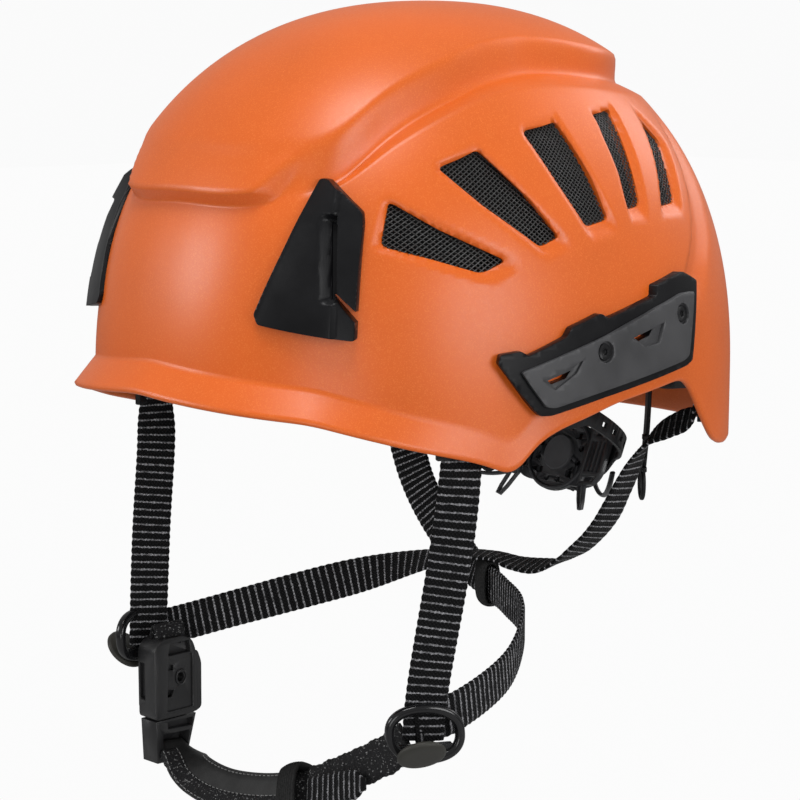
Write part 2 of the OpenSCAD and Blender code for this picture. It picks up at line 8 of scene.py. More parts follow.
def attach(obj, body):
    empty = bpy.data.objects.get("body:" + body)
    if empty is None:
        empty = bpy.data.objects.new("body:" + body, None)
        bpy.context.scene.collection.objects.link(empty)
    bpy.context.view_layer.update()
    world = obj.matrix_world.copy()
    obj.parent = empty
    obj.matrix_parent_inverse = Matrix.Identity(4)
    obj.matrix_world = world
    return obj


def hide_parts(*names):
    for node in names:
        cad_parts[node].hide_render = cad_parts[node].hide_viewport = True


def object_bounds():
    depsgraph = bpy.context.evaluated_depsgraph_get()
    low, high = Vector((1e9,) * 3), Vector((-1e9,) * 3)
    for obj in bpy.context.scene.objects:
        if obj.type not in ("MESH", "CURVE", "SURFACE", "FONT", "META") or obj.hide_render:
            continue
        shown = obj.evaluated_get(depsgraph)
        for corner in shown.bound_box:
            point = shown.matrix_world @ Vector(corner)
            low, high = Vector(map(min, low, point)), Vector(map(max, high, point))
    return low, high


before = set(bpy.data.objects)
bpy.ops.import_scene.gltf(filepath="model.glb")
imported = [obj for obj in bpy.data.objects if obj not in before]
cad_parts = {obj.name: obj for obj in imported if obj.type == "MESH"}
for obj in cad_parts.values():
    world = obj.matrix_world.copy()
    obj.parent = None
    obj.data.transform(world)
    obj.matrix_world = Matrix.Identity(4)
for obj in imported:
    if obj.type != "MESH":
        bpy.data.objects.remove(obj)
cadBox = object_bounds()
mm = 0.001
print("frame loaded:", len(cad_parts), "nodes")

dome = {
    "halfWidth": 106.0,
    "front": 134.0,
    "rear": 125.0,
    "height": 138.0,
    "level": 11.0,
    "power": 2.26,
    "below": 400.0,
    "wall": 2.6,
    "brimFlare": 8.0,
}
rimHeights = [(0, 17), (30, 11), (45, 1), (63, -9), (66, -1), (72, 4), (87, 11), (108, 16),
              (111, 13), (117, -1), (123, -12), (129, -15), (180, -15)]


def ease(t):
    c = np.clip(t, 0.0, 1.0)
    return c * c * (3 - 2 * c)


def frontAngle(azimuth):
    return np.abs((azimuth + 90 + 180) % 360 - 180)


def lookup(x, table):
    xs, ys = zip(*table)
    return np.interp(x, xs, ys)


def footprint(azimuth, depth):
    a = np.radians(azimuth)
    side = np.abs(np.cos(a)) / (dome["halfWidth"] - depth)
    reach = np.where(np.sin(a) < 0, dome["front"], dome["rear"]) - depth
    along = np.abs(np.sin(a)) / reach
    return (side ** dome["power"] + along ** dome["power"]) ** (-1 / dome["power"])


def domeRadius(azimuth, elevation, depth):
    b = np.radians(elevation)
    flat = np.cos(b) / footprint(azimuth, depth)
    tall = np.abs(np.sin(b)) / np.where(b < 0, dome["below"], dome["height"] - depth)
    return (flat ** dome["power"] + tall ** dome["power"]) ** (-1 / dome["power"])


def domeAngle(azimuth, z, depth):
    h = np.asarray(z, float) - dome["level"]
    share = np.minimum(np.abs(h) / np.where(h < 0, dome["below"], dome["height"] - depth), 1.0)
    flat = footprint(azimuth, depth) * (1 - share ** dome["power"]) ** (1 / dome["power"])
    return np.degrees(np.arctan2(h, flat))


def domePoint(azimuth, elevation, depth, lift=0.0, flare=0.0):
    a, b = np.radians(azimuth), np.radians(elevation)
    r = domeRadius(azimuth, elevation, depth) + lift
    out = r * np.cos(b) + flare
    return np.stack([out * np.cos(a), out * np.sin(a), r * np.sin(b) + dome["level"]], -1)


def sidePoint(angle, z, depth):
    azimuth = np.asarray(angle, float) - 90
    return domePoint(azimuth, domeAngle(azimuth, z, depth), depth)

view = {
    "azimuth": 47.0,
    "elevation": 8.5,
    "distance": 0.9,
    "lens": 102.3,
    "shift": (-0.0338, -0.0038),
}


def makeCamera():
    a, e = math.radians(view["azimuth"]), math.radians(view["elevation"])
    back = Vector((math.sin(a) * math.cos(e), -math.cos(a) * math.cos(e), math.sin(e)))
    data = bpy.data.cameras.new("camera")
    data.lens = view["lens"]
    data.sensor_width = 36
    data.shift_x, data.shift_y = view["shift"]
    data.clip_start, data.clip_end = 0.01, 30
    cam = bpy.data.objects.new("camera", data)
    cam.location = back * view["distance"]
    cam.rotation_euler = back.to_track_quat("Z", "Y").to_euler()
    bpy.context.scene.collection.objects.link(cam)
    bpy.context.scene.camera = cam


studio = {
    "world": 0.36,
    "backdrop": 0.96,
    "floorGlow": 0.97,
    "lamps": [
        # name, place, size, power
        ("topLamp", (0.25, -0.35, 1.5), 0.7, 11.5),
        ("frontLamp", (-0.9, -1.3, 0.55), 0.6, 7),
        ("sideLamp", (1.5, 0.1, 0.30), 0.8, 8),
        ("rearLamp", (0.2, 1.5, 0.9), 0.9, 6),
        ("floorLampLeft", (1.2, -1.6, -0.1), 0.9, 6),
    ],
}


def makeStudio():
    world = bpy.data.worlds.new("studio")
    world.use_nodes = True
    nodes = world.node_tree.nodes
    nodes["Background"].inputs["Color"].default_value = (1, 1, 1, 1)
    nodes["Background"].inputs["Strength"].default_value = studio["world"]
    # the backdrop is lit on its own, so that it stays pale without washing out the helmet
    backdrop = nodes.new("ShaderNodeBackground")
    backdrop.inputs["Color"].default_value = (1, 1, 1, 1)
    backdrop.inputs["Strength"].default_value = studio["backdrop"]
    seen = nodes.new("ShaderNodeLightPath")
    either = nodes.new("ShaderNodeMixShader")
    wire = world.node_tree.links.new
    wire(seen.outputs["Is Camera Ray"], either.inputs["Fac"])
    wire(nodes["Background"].outputs["Background"], either.inputs[1])
    wire(backdrop.outputs["Background"], either.inputs[2])
    wire(either.outputs["Shader"], nodes["World Output"].inputs["Surface"])
    bpy.context.scene.world = world
    for name, place, size, power in studio["lamps"]:
        data = bpy.data.lights.new(name, "AREA")
        data.shape = "DISK"
        data.size = size
        data.energy = power
        lamp = bpy.data.objects.new(name, data)
        lamp.location = place
        lamp.rotation_euler = (Vector(place) - Vector((0, 0, 0.02))).to_track_quat("Z", "Y").to_euler()
        bpy.context.scene.collection.objects.link(lamp)
    mesh = bpy.data.meshes.new("floor")
    s, z = 9.0, cadBox[0][2] - 0.25
    mesh.from_pydata([(-s, -s, z), (s, -s, z), (s, s, z), (-s, s, z)], [], [(0, 1, 2, 3)])
    floor = bpy.data.objects.new("floor", mesh)
    bpy.context.scene.collection.objects.link(floor)
    paint = bpy.data.materials.new("floorPaper")
    paint.use_nodes = True
    body = paint.node_tree.nodes["Principled BSDF"]
    body.inputs["Base Color"].default_value = (0.42, 0.42, 0.42, 1)
    body.inputs["Roughness"].default_value = 0.9
    # the paper shows evenly pale, and throws back only a little light
    nodes, wire = paint.node_tree.nodes, paint.node_tree.links.new
    glow = nodes.new("ShaderNodeEmission")
    glow.inputs["Strength"].default_value = studio["floorGlow"]
    seen = nodes.new("ShaderNodeLightPath")
    either = nodes.new("ShaderNodeMixShader")
    wire(seen.outputs["Is Camera Ray"], either.inputs["Fac"])
    wire(body.outputs["BSDF"], either.inputs[1])
    wire(glow.outputs["Emission"], either.inputs[2])
    wire(either.outputs["Shader"], nodes["Material Output"].inputs["Surface"])
    mesh.materials.append(paint)


makeCamera()
makeStudio()
bpy.context.scene.view_settings.view_transform = "Standard"
print("camera and studio ready")

relief = {
    "crownRise": 5.6,
    "bumpRise": 4.6,
    "ledgeDrop": 3.1,
    "ridgeDrop": 2.6,
    "flareBand": 10.0,
    "ventRecess": 1.9,
}
# heights of the ledge round the crown by angle from the front: outer edge, then valley line
ledgeOuter = [(0, 82.5), (17, 82.5), (31, 89), (41, 103), (55, 115), (79, 122.5), (100, 122.5), (125, 119.5),
              (147, 117.5), (165, 115), (180, 114)]
ledgeInner = [(0, 84.2), (17, 84.6), (30, 91), (38, 105.5), (56, 122), (79, 129), (100, 129.5), (125, 127),
              (147, 125), (165, 122.5), (180, 121.5)]
crownRun = [(0, 20), (36, 17), (60, 13), (80, 11), (113, 9), (147, 7), (180, 7)]
rearRidge = [(42, 108), (53, 111.5), (65, 117.2), (80, 122.6), (99, 128.5), (112, 132)]
# corners of the five vents on the left side, as angle from the front and height
vents = [
    [(40, 84), (39, 69), (57, 59), (62, 63)],
    [(49, 95), (58, 101), (75, 70), (70, 67)],
    [(71, 107), (83, 110), (90, 75), (83, 73)],
    [(98, 112), (108, 114), (102, 79), (97, 78)],
    [(119.5, 112), (124, 101), (116.5, 79), (109, 78)],
]
degreeLength = 1.66     # millimetres of shell per degree round the side
heightLength = 1.25     # millimetres of shell per millimetre of height at the vents


def smoothTable(table, x):
    xs = np.array([p[0] for p in table], float)
    ys = np.array([p[1] for p in table], float)
    slope = np.gradient(ys, xs)
    k = np.clip(np.searchsorted(xs, x, side="right") - 1, 0, len(xs) - 2)
    h = xs[k + 1] - xs[k]
    t = np.clip((x - xs[k]) / h, 0, 1)
    a = (1 + 2 * t) * (1 - t) ** 2
    b = t * (1 - t) ** 2
    c = t * t * (3 - 2 * t)
    d = t * t * (t - 1)
    return a * ys[k] + b * h * slope[k] + c * ys[k + 1] + d * h * slope[k + 1]


def polygonDistance(px, py, corners):
    # signed distance to a polygon, negative inside
    best = np.full(px.shape, 1e9)
    inside = np.zeros(px.shape, bool)
    n = len(corners)
    for k in range(n):
        ax, ay = corners[k]
        bx, by = corners[(k + 1) % n]
        ex, ey = bx - ax, by - ay
        t = np.clip(((px - ax) * ex + (py - ay) * ey) / (ex * ex + ey * ey), 0, 1)
        best = np.minimum(best, np.hypot(px - ax - t * ex, py - ay - t * ey))
        crosses = (ay > py) != (by > py)
        spot = ax + (py - ay) / np.where(ey == 0, 1e-9, ey) * ex
        inside ^= crosses & (px < spot)
    return np.where(inside, -best, best)


def ventPlane(corners):
    return [(c[0] * degreeLength, c[1] * heightLength) for c in corners]


def ventDish(corners):
    # the dish round a vent reaches further at its lower and rear edges
    spots = ventPlane(corners)
    cx = sum(p[0] for p in spots) / len(spots)
    cy = sum(p[1] for p in spots) / len(spots)
    grown = []
    for x, y in spots:
        away = Vector((x - cx, y - cy)).normalized()
        far = 2.2 + (2.6 if y < cy else 0.0) + (1.2 if x > cx else 0.0)
        grown.append((x + away.x * far, y + away.y * far))
    return grown


def shellLift(angle, z, ledgeShare, above):
    # ledgeShare runs 0..1 across the ledge; above is the run in millimetres past the valley line
    ledge = -relief["ledgeDrop"] * ease((angle - 24) / 9)
    crest = relief["crownRise"]
    sideRise = ledge * ledgeShare + (crest - ledge) * ease(above / smoothTable(crownRun, angle))
    bump = relief["bumpRise"] * ledgeShare + (crest - relief["bumpRise"]) * ease(above / 40)
    creaseAt = 17 + (z - 84) * 0.45
    facet = 1.5 + 6.0 * np.clip(1 - (z - 84) / 26, 0, 1)
    share = np.clip(1 - (angle - creaseAt) * 2.0 / facet, 0, 1)
    lift = sideRise + (np.maximum(bump, sideRise) - sideRise) * share
    back = (angle - smoothTable(rearRidge, z)) * math.pi / 180 * 100
    hold = ease((z - 38) / 16) * ease((116 - z) / 12) * (ledgeShare <= 0)
    valley = ease(back / 2.6) * (1 - ease((back - 8) / 13.0))
    lift = lift - relief["ridgeDrop"] * valley * hold
    x, y = angle * degreeLength, z * heightLength
    for corners in vents:
        hole = polygonDistance(x, y, ventPlane(corners))
        dish = polygonDistance(x, y, ventDish(corners))
        deep = np.clip(-dish / np.maximum(hole - dish, 0.4), 0, 1)
        lift = lift - relief["ventRecess"] * np.where(dish < 0, deep, 0)
    return lift


def softRim(angle):
    # the rim with its corners rounded off
    spread = np.linspace(-3.4, 3.4, 9)
    share = np.array([1, 2, 3, 4, 4, 4, 3, 2, 1]) / 24
    total = 0
    for step, weight in zip(spread, share):
        folded = np.abs(180 - np.abs(180 - np.abs(angle + step)))
        total = total + weight * lookup(folded, rimHeights)
    return total - 1.6 * np.exp(-((angle - 62.5) / 5) ** 2)


def flareOut(angle, z, rim):
    reach = 0.15 + 0.85 * ease((62 - angle) / 34)
    fade = ease((118 - angle) / 50)
    return dome["brimFlare"] * reach * fade * np.clip(1 - (z - rim) / relief["flareBand"], 0, 1)


def shellRows(azimuth, depth, counts):
    # points of one skin of the shell: rows from the rim to near the pole, one column per azimuth
    angle = frontAngle(azimuth)
    rim = softRim(angle)
    crease = rim + relief["flareBand"]
    low = smoothTable(ledgeOuter, angle)
    high = smoothTable(ledgeInner, angle)
    marks = [domeAngle(azimuth, h, 0) for h in (rim, crease, low, high)] + [np.full(azimuth.shape, 89.4)]
    rows = []
    for part in range(4):
        n = counts[part]
        for i in range(n + (part == 3)):
            t = i / n
            elevation = marks[part] + (marks[part + 1] - marks[part]) * t
            p = domePoint(azimuth, elevation, 0)
            z = p[:, 2]
            ledgeShare = np.full(z.shape, 0.0 if part < 2 else (t if part == 2 else 1.0))
            above = (elevation - marks[3]) * math.pi / 180 * 135 if part == 3 else np.zeros(z.shape)
            lift = shellLift(angle, z, ledgeShare, above)
            rows.append(domePoint(azimuth, elevation, depth, lift, flareOut(angle, z, rim)))
    return np.array(rows)


def columnAngles():
    # columns crowd where the relief is fine
    angle = np.linspace(0, 180, 1801)
    weight = 1.0 + 0.9 * (angle < 130) + 0.5 * (angle < 30)
    total = np.concatenate([[0], np.cumsum((weight[1:] + weight[:-1]) / 2)])
    half = np.interp(np.linspace(0, total[-1], 241), total, angle)
    return np.concatenate([half - 90, -90 - half[1:-1][::-1]]) % 360


def meshObject(name, points, faces, smooth=True):
    mesh = bpy.data.meshes.new(name)
    mesh.from_pydata([tuple(p) for p in np.asarray(points) * mm], [], faces)
    mesh.validate()
    mesh.update()
    if smooth:
        mesh.polygons.foreach_set("use_smooth", [True] * len(mesh.polygons))
    obj = bpy.data.objects.new(name, mesh)
    bpy.context.scene.collection.objects.link(obj)
    return obj


def buildShell():
    azimuth = np.sort(columnAngles())
    outer = shellRows(azimuth, 0.0, (8, 62, 7, 58))
    inner = shellRows(azimuth, dome["wall"], (2, 16, 3, 12))
    cols = len(azimuth)
    # the rim is rolled: three rows on a half round between the two skins
    middle = (outer[0] + inner[0]) / 2
    half = (outer[0] - inner[0]) / 2
    down = np.array([0, 0, -1.0])
    roll = [middle + half * math.cos(k) + down * dome["wall"] / 2 * math.sin(k)
            for k in np.radians([135, 90, 45])]
    stack = np.concatenate([inner[::-1], np.array(roll), outer])
    rows = len(stack)
    points = stack.reshape(-1, 3).tolist()
    points.append(domePoint(np.array(0.0), np.array(90.0), dome["wall"], relief["crownRise"]).tolist())
    points.append(domePoint(np.array(0.0), np.array(90.0), 0.0, relief["crownRise"]).tolist())
    faces = []
    for i in range(rows - 1):
        for j in range(cols):
            k = (j + 1) % cols
            faces.append((i * cols + j, i * cols + k, (i + 1) * cols + k, (i + 1) * cols + j))
    for j in range(cols):
        k = (j + 1) % cols
        faces.append((k, j, rows * cols))
        faces.append(((rows - 1) * cols + j, (rows - 1) * cols + k, rows * cols + 1))
    shell = meshObject("helmetShell", points, faces)
    return shell


def roundedOutline(corners, radius, steps=5):
    # round each corner of an outline with an arc
    out = []
    n = len(corners)
    for k in range(n):
        here = Vector(corners[k])
        before = (Vector(corners[k - 1]) - here)
        after = (Vector(corners[(k + 1) % n]) - here)
        reach = min(radius, before.length * 0.45, after.length * 0.45)
        start = here + before.normalized() * reach
        end = here + after.normalized() * reach
        for i in range(steps + 1):
            t = i / steps
            out.append(tuple(start * (1 - t) ** 2 + here * 2 * t * (1 - t) + end * t * t))
    return out


def ventCutter(corners, side):
    outline = roundedOutline(ventPlane(corners), 2.4)
    points = []
    for depth in (-9.0, 9.0):
        for x, y in outline:
            p = sidePoint(x / degreeLength, y / heightLength, depth)
            points.append((p[0] * side, p[1], p[2]))
    n = len(outline)
    faces = [tuple(range(n)), tuple(range(2 * n - 1, n - 1, -1))]
    for k in range(n):
        m = (k + 1) % n
        faces.append((m, k, n + k, n + m))
    cutter = meshObject("ventCutter", points, faces, smooth=False)
    fixNormals(cutter)
    return cutter


def fixNormals(obj):
    bm = bmesh.new()
    bm.from_mesh(obj.data)
    bmesh.ops.recalc_face_normals(bm, faces=bm.faces)
    if bm.calc_volume(signed=True) < 0:
        bmesh.ops.reverse_faces(bm, faces=bm.faces)
    bm.to_mesh(obj.data)
    bm.free()


def applyModifiers(obj):
    bpy.context.view_layer.update()
    graph = bpy.context.evaluated_depsgraph_get()
    mesh = bpy.data.meshes.new_from_object(obj.evaluated_get(graph))
    obj.modifiers.clear()
    old = obj.data
    obj.data = mesh
    bpy.data.meshes.remove(old)


def shadeSoft(obj, angle=40):
    obj.data.polygons.foreach_set("use_smooth", [True] * len(obj.data.polygons))
    obj.data.set_sharp_from_angle(angle=math.radians(angle))


def setFinish(obj, paint):
    obj.data.materials.clear()
    obj.data.materials.append(paint)


def joinObjects(name, objects):
    bm = bmesh.new()
    for obj in objects:
        bm.from_mesh(obj.data)
    mesh = bpy.data.meshes.new(name)
    bm.to_mesh(mesh)
    bm.free()
    for obj in objects:
        bpy.data.objects.remove(obj)
    joined = bpy.data.objects.new(name, mesh)
    bpy.context.scene.collection.objects.link(joined)
    return joined


def cutVents(shell):
    cutters = [ventCutter(c, side) for c in vents for side in (1, -1)]
    tool = joinObjects("ventCutters", cutters)
    cut = shell.modifiers.new("vents", "BOOLEAN")
    cut.operation = "DIFFERENCE"
    cut.solver = "MANIFOLD"
    cut.object = tool
    applyModifiers(shell)
    bpy.data.objects.remove(tool)


shell = buildShell()
cutVents(shell)
print("shell:", len(shell.data.polygons), "faces")

webbing = {
    "width": 15.5,
    "thick": 1.7,
    "threadPitch": 3.05,     # from one light cross thread to the next
    "ribDepth": 0.22,
    "scallop": 0.28,
    "step": 0.38,            # spacing of the rings along the webbing
}


def splinePoint(points, u):
    # Catmull-Rom through all the points, u from 0 to 1
    n = len(points) - 1
    s = np.clip(u, 0, 1) * n
    k = np.minimum(np.floor(s).astype(int), n - 1)
    t = (s - k)[:, None]
    p = np.asarray(points, float)
    a, b, c, d = p[np.maximum(k - 1, 0)], p[k], p[k + 1], p[np.minimum(k + 2, n)]
    return 0.5 * (2 * b + (c - a) * t + (2 * a - 5 * b + 4 * c - d) * t ** 2
                  + (3 * b - a - 3 * c + d) * t ** 3)


def unit(v):
    return v / np.maximum(np.linalg.norm(v, axis=-1, keepdims=True), 1e-9)


def routeFrames(route, widths, step, start=0.0, stop=1.0):
    # evenly spaced centres along a route, with the directions across and out of the face
    u = np.linspace(start, stop, 1200)
    fine = splinePoint(route, u)
    run = np.concatenate([[0], np.cumsum(np.linalg.norm(np.diff(fine, axis=0), axis=1))])
    count = max(int(run[-1] / step), 3)
    even = np.linspace(0, run[-1], count + 1)
    uu = np.interp(even, run, u)
    centre = splinePoint(route, uu)
    heading = unit(np.gradient(centre, axis=0))
    across = unit(splinePoint(widths, uu))
    across = unit(across - heading * (across * heading).sum(-1, keepdims=True))
    return centre, heading, across, np.cross(heading, across), even


def ribbonMesh(name, route, widths, width=None, thick=None, ribs=True, start=0.0, stop=1.0,
               lift=0.0, edge=0.45, wave=None, step=None, grow=None):
    width = width or webbing["width"]
    thick = thick or webbing["thick"]
    centre, _, across, face, run = routeFrames(route, widths, step or webbing["step"], start, stop)
    if grow is not None:
        width = width * grow(run)
    phase = run * 2 * math.pi / webbing["threadPitch"]
    rib = webbing["ribDepth"] * (0.5 + 0.5 * np.cos(2 * phase)) if ribs else np.zeros(run.shape)
    scallop = webbing["scallop"] * (0.5 + 0.5 * np.cos(phase)) if ribs else np.zeros(run.shape)
    # half outline of the section: from one edge to the other along the top face
    flat = np.linspace(-1, 1, 9)
    rings = []
    for side in (1, -1):
        for v in flat * side:
            inset = np.where(abs(v) > 0.99, edge, 0.0)
            x = v * (width / 2 - scallop * abs(v) ** 4)
            y = side * (thick / 2 - rib * (1 - abs(v) ** 8) - inset)
            rings.append(centre + across * np.asarray(x)[:, None] + face * np.asarray(y + lift)[:, None])
    ring = np.stack(rings, 1)
    if wave is not None:
        ring = ring + wave(run)[:, None, :]
    count, sides = ring.shape[0], ring.shape[1]
    points = ring.reshape(-1, 3)
    faces, spots = [], []
    across01 = np.concatenate([(flat + 1) / 2, (1 - flat) / 2])
    for i in range(count - 1):
        for j in range(sides):
            k = (j + 1) % sides
            faces.append((i * sides + j, (i + 1) * sides + j, (i + 1) * sides + k, i * sides + k))
            spots.append(((run[i], across01[j]), (run[i + 1], across01[j]),
                          (run[i + 1], across01[k]), (run[i], across01[k])))
    faces.append(tuple(range(sides)))
    spots.append([(run[0], across01[j]) for j in range(sides)])
    faces.append(tuple((count - 1) * sides + j for j in range(sides - 1, -1, -1)))
    spots.append([(run[-1], across01[j]) for j in range(sides - 1, -1, -1)])
    obj = meshObject(name, points, faces)
    layer = obj.data.uv_layers.new(name="weave")
    flatSpots = [c for spot in spots for p in spot for c in (p[0] * mm, p[1])]
    layer.data.foreach_set("uv", flatSpots)
    if signedVolume(obj) < 0:
        obj.data.flip_normals()
    return obj


def signedVolume(obj):
    bm = bmesh.new()
    bm.from_mesh(obj.data)
    volume = bm.calc_volume(signed=True)
    bm.free()
    return volume


def newMaterial(name, colour, roughness, metallic=0.0, coat=0.0, specular=0.5):
    paint = bpy.data.materials.new(name)
    paint.use_nodes = True
    body = paint.node_tree.nodes["Principled BSDF"]
    body.inputs["Base Color"].default_value = (*colour, 1)
    body.inputs["Roughness"].default_value = roughness
    body.inputs["Metallic"].default_value = metallic
    body.inputs["Coat Weight"].default_value = coat
    body.inputs["Specular IOR Level"].default_value = specular
    return paint


def addNode(paint, kind, **settings):
    node = paint.node_tree.nodes.new("ShaderNode" + kind)
    for key, value in settings.items():
        if hasattr(node, key):
            setattr(node, key, value)
        else:
            node.inputs[key.replace("_", " ").title()].default_value = value
    return node


def join(paint, start, startSocket, end, endSocket):
    paint.node_tree.links.new(start.outputs[startSocket], end.inputs[endSocket])


def noise(paint, scale, detail=3.0, stretch=(1, 1, 1)):
    spot = addNode(paint, "TexCoord")
    turn = addNode(paint, "Mapping")
    turn.inputs["Scale"].default_value = stretch
    grain = addNode(paint, "TexNoise", scale=scale, detail=detail)
    join(paint, spot, "Object", turn, "Vector")
    join(paint, turn, "Vector", grain, "Vector")
    return grain


def ramp(paint, source, socket, stops):
    band = addNode(paint, "ValToRGB")
    marks = band.color_ramp.elements
    marks[0].position, marks[0].color = stops[0][0], (*stops[0][1], 1)
    marks[1].position, marks[1].color = stops[-1][0], (*stops[-1][1], 1)
    for place, colour in stops[1:-1]:
        marks.new(place).color = (*colour, 1)
    join(paint, source, socket, band, "Fac")
    return band


def bump(paint, source, socket, strength, distance, under=None):
    relief = addNode(paint, "Bump")
    relief.inputs["Strength"].default_value = strength
    relief.inputs["Distance"].default_value = distance
    join(paint, source, socket, relief, "Height")
    if under:
        join(paint, under, "Normal", relief, "Normal")
    return relief


def grey(value):
    return (value, value, value)


def paintSurface(paint, colour=None, roughness=None, relief=None):
    body = paint.node_tree.nodes["Principled BSDF"]
    if colour:
        join(paint, colour, "Color", body, "Base Color")
    if roughness:
        join(paint, roughness, "Color", body, "Roughness")
    if relief:
        join(paint, relief, "Normal", body, "Normal")
    return paint


def mouldedPlastic(name, colour, roughness, grain=2600.0, depth=0.00006, spread=0.06, coat=0.0, specular=0.2):
    # moulded plastic with a fine spark-eroded grain and slightly uneven gloss
    paint = newMaterial(name, colour, roughness, coat=coat, specular=specular)
    fine = noise(paint, grain, 2.0)
    cloud = noise(paint, 60.0, 4.0)
    lighter = tuple(min(1.0, c * 1.16 + 0.002) for c in colour)
    darker = tuple(c * 0.86 for c in colour)
    tone = ramp(paint, cloud, "Fac", [(0.3, darker), (0.7, lighter)])
    gloss = ramp(paint, cloud, "Fac", [(0.3, grey(roughness - spread)), (0.7, grey(roughness + spread))])
    return paintSurface(paint, tone, gloss, bump(paint, fine, "Fac", 0.45, depth))


finish = {
    "shellColour": (0.76, 0.130, 0.010),
    "shellFleck": (0.90, 0.24, 0.045),
    "shellRoughness": 0.36,
    "blackPlastic": (0.012, 0.012, 0.013),
    "greyPlastic": (0.045, 0.045, 0.048),
    "threadColour": (0.42, 0.42, 0.44),
    "webColour": (0.009, 0.009, 0.010),
}


def makeShellOrange():
    # satin orange with a very fine metallic fleck under it
    paint = newMaterial("shellOrange", finish["shellColour"], finish["shellRoughness"], coat=0.0)
    fleck = addNode(paint, "TexVoronoi", scale=3200.0)
    spot = addNode(paint, "TexCoord")
    join(paint, spot, "Object", fleck, "Vector")
    cloud = noise(paint, 22.0, 5.0)
    tone = ramp(paint, cloud, "Fac", [(0.3, tuple(c * 0.94 for c in finish["shellColour"])),
                                      (0.7, tuple(c * 1.05 for c in finish["shellColour"]))])
    split = addNode(paint, "SeparateColor")
    join(paint, fleck, "Color", split, "Color")
    share = ramp(paint, split, "Red", [(0.70, grey(0)), (0.98, grey(0.42))])
    mix = addNode(paint, "Mix", data_type="RGBA")
    join(paint, share, "Color", mix, "Factor")
    paint.node_tree.links.new(tone.outputs["Color"], mix.inputs[6])
    mix.inputs[7].default_value = (*finish["shellFleck"], 1)
    body = paint.node_tree.nodes["Principled BSDF"]
    paint.node_tree.links.new(mix.outputs[2], body.inputs["Base Color"])
    grain = noise(paint, 1500.0, 2.0)
    gloss = ramp(paint, grain, "Fac", [(0.3, grey(finish["shellRoughness"] - 0.05)),
                                       (0.7, grey(finish["shellRoughness"] + 0.06))])
    return paintSurface(paint, None, gloss, bump(paint, grain, "Fac", 0.35, 0.00005))


def makeWebbing(name, colour, thread, pitch, glint=1.0):
    # woven polyester: rows across, yarns along, and a light thread showing every few rows
    paint = newMaterial(name, colour, 0.72, specular=0.12)
    body = paint.node_tree.nodes["Principled BSDF"]
    body.inputs["Sheen Weight"].default_value = 0.06
    body.inputs["Sheen Roughness"].default_value = 0.4
    uv = addNode(paint, "UVMap", uv_map="weave")
    split = addNode(paint, "SeparateXYZ")
    join(paint, uv, "UV", split, "Vector")

    def wave(socket, count, offset=0.0):
        # a sine of one direction
        scaled = addNode(paint, "Math", operation="MULTIPLY_ADD")
        join(paint, split, socket, scaled, 0)
        scaled.inputs[1].default_value = count * 2 * math.pi
        scaled.inputs[2].default_value = offset
        sine = addNode(paint, "Math", operation="SINE")
        join(paint, scaled, 0, sine, 0)
        return sine, scaled

    rows = wave("X", 2 / (pitch * mm), math.pi / 2)[0]
    yarns, yarnPhase = wave("Y", 11)
    weave = addNode(paint, "Math", operation="MULTIPLY")
    join(paint, rows, 0, weave, 0)
    join(paint, yarns, 0, weave, 1)
    # the light thread is a broken line that wanders a little between the yarns
    stray = noise(paint, 900.0, 2.0)
    wander = addNode(paint, "Math", operation="MULTIPLY_ADD")
    join(paint, stray, "Fac", wander, 0)
    wander.inputs[1].default_value = 1.9
    line = addNode(paint, "Math", operation="MULTIPLY_ADD")
    join(paint, split, "X", line, 0)
    line.inputs[1].default_value = 2 * math.pi / (pitch * mm)
    line.inputs[2].default_value = -0.75
    join(paint, line, 0, wander, 2)
    lineWave = addNode(paint, "Math", operation="COSINE")
    join(paint, wander, 0, lineWave, 0)
    shine = ramp(paint, lineWave, "Value", [(0.70, grey(0)), (0.86, grey(glint))])
    broken = addNode(paint, "Math", operation="COSINE")
    join(paint, yarnPhase, 0, broken, 0)
    gaps = ramp(paint, broken, "Value", [(0.0, grey(0.55)), (0.9, grey(1.0))])
    patch = noise(paint, 420.0, 3.0)
    patches = ramp(paint, patch, "Fac", [(0.36, grey(0.35)), (0.56, grey(1.0))])
    show = addNode(paint, "Math", operation="MULTIPLY")
    join(paint, shine, "Color", show, 0)
    join(paint, gaps, "Color", show, 1)
    fading = addNode(paint, "Math", operation="MULTIPLY")
    join(paint, show, 0, fading, 0)
    join(paint, patches, "Color", fading, 1)
    # painted shade and painted highlight: the weave's dips are painted darker and its raised yarns lighter
    shaded = tuple(c * 0.4 for c in colour)
    lit = tuple(c * 1.5 for c in colour)
    cloth = ramp(paint, weave, "Value", [(0.2, shaded), (0.8, lit)])
    mix = addNode(paint, "Mix", data_type="RGBA")
    join(paint, fading, 0, mix, "Factor")
    paint.node_tree.links.new(cloth.outputs["Color"], mix.inputs[6])
    mix.inputs[7].default_value = (*thread, 1)
    paint.node_tree.links.new(mix.outputs[2], body.inputs["Base Color"])
    ribs = bump(paint, weave, "Value", 0.7, 0.00022)
    raised = bump(paint, fading, "Value", 0.5, 0.00025, ribs)
    return paintSurface(paint, None, None, raised)


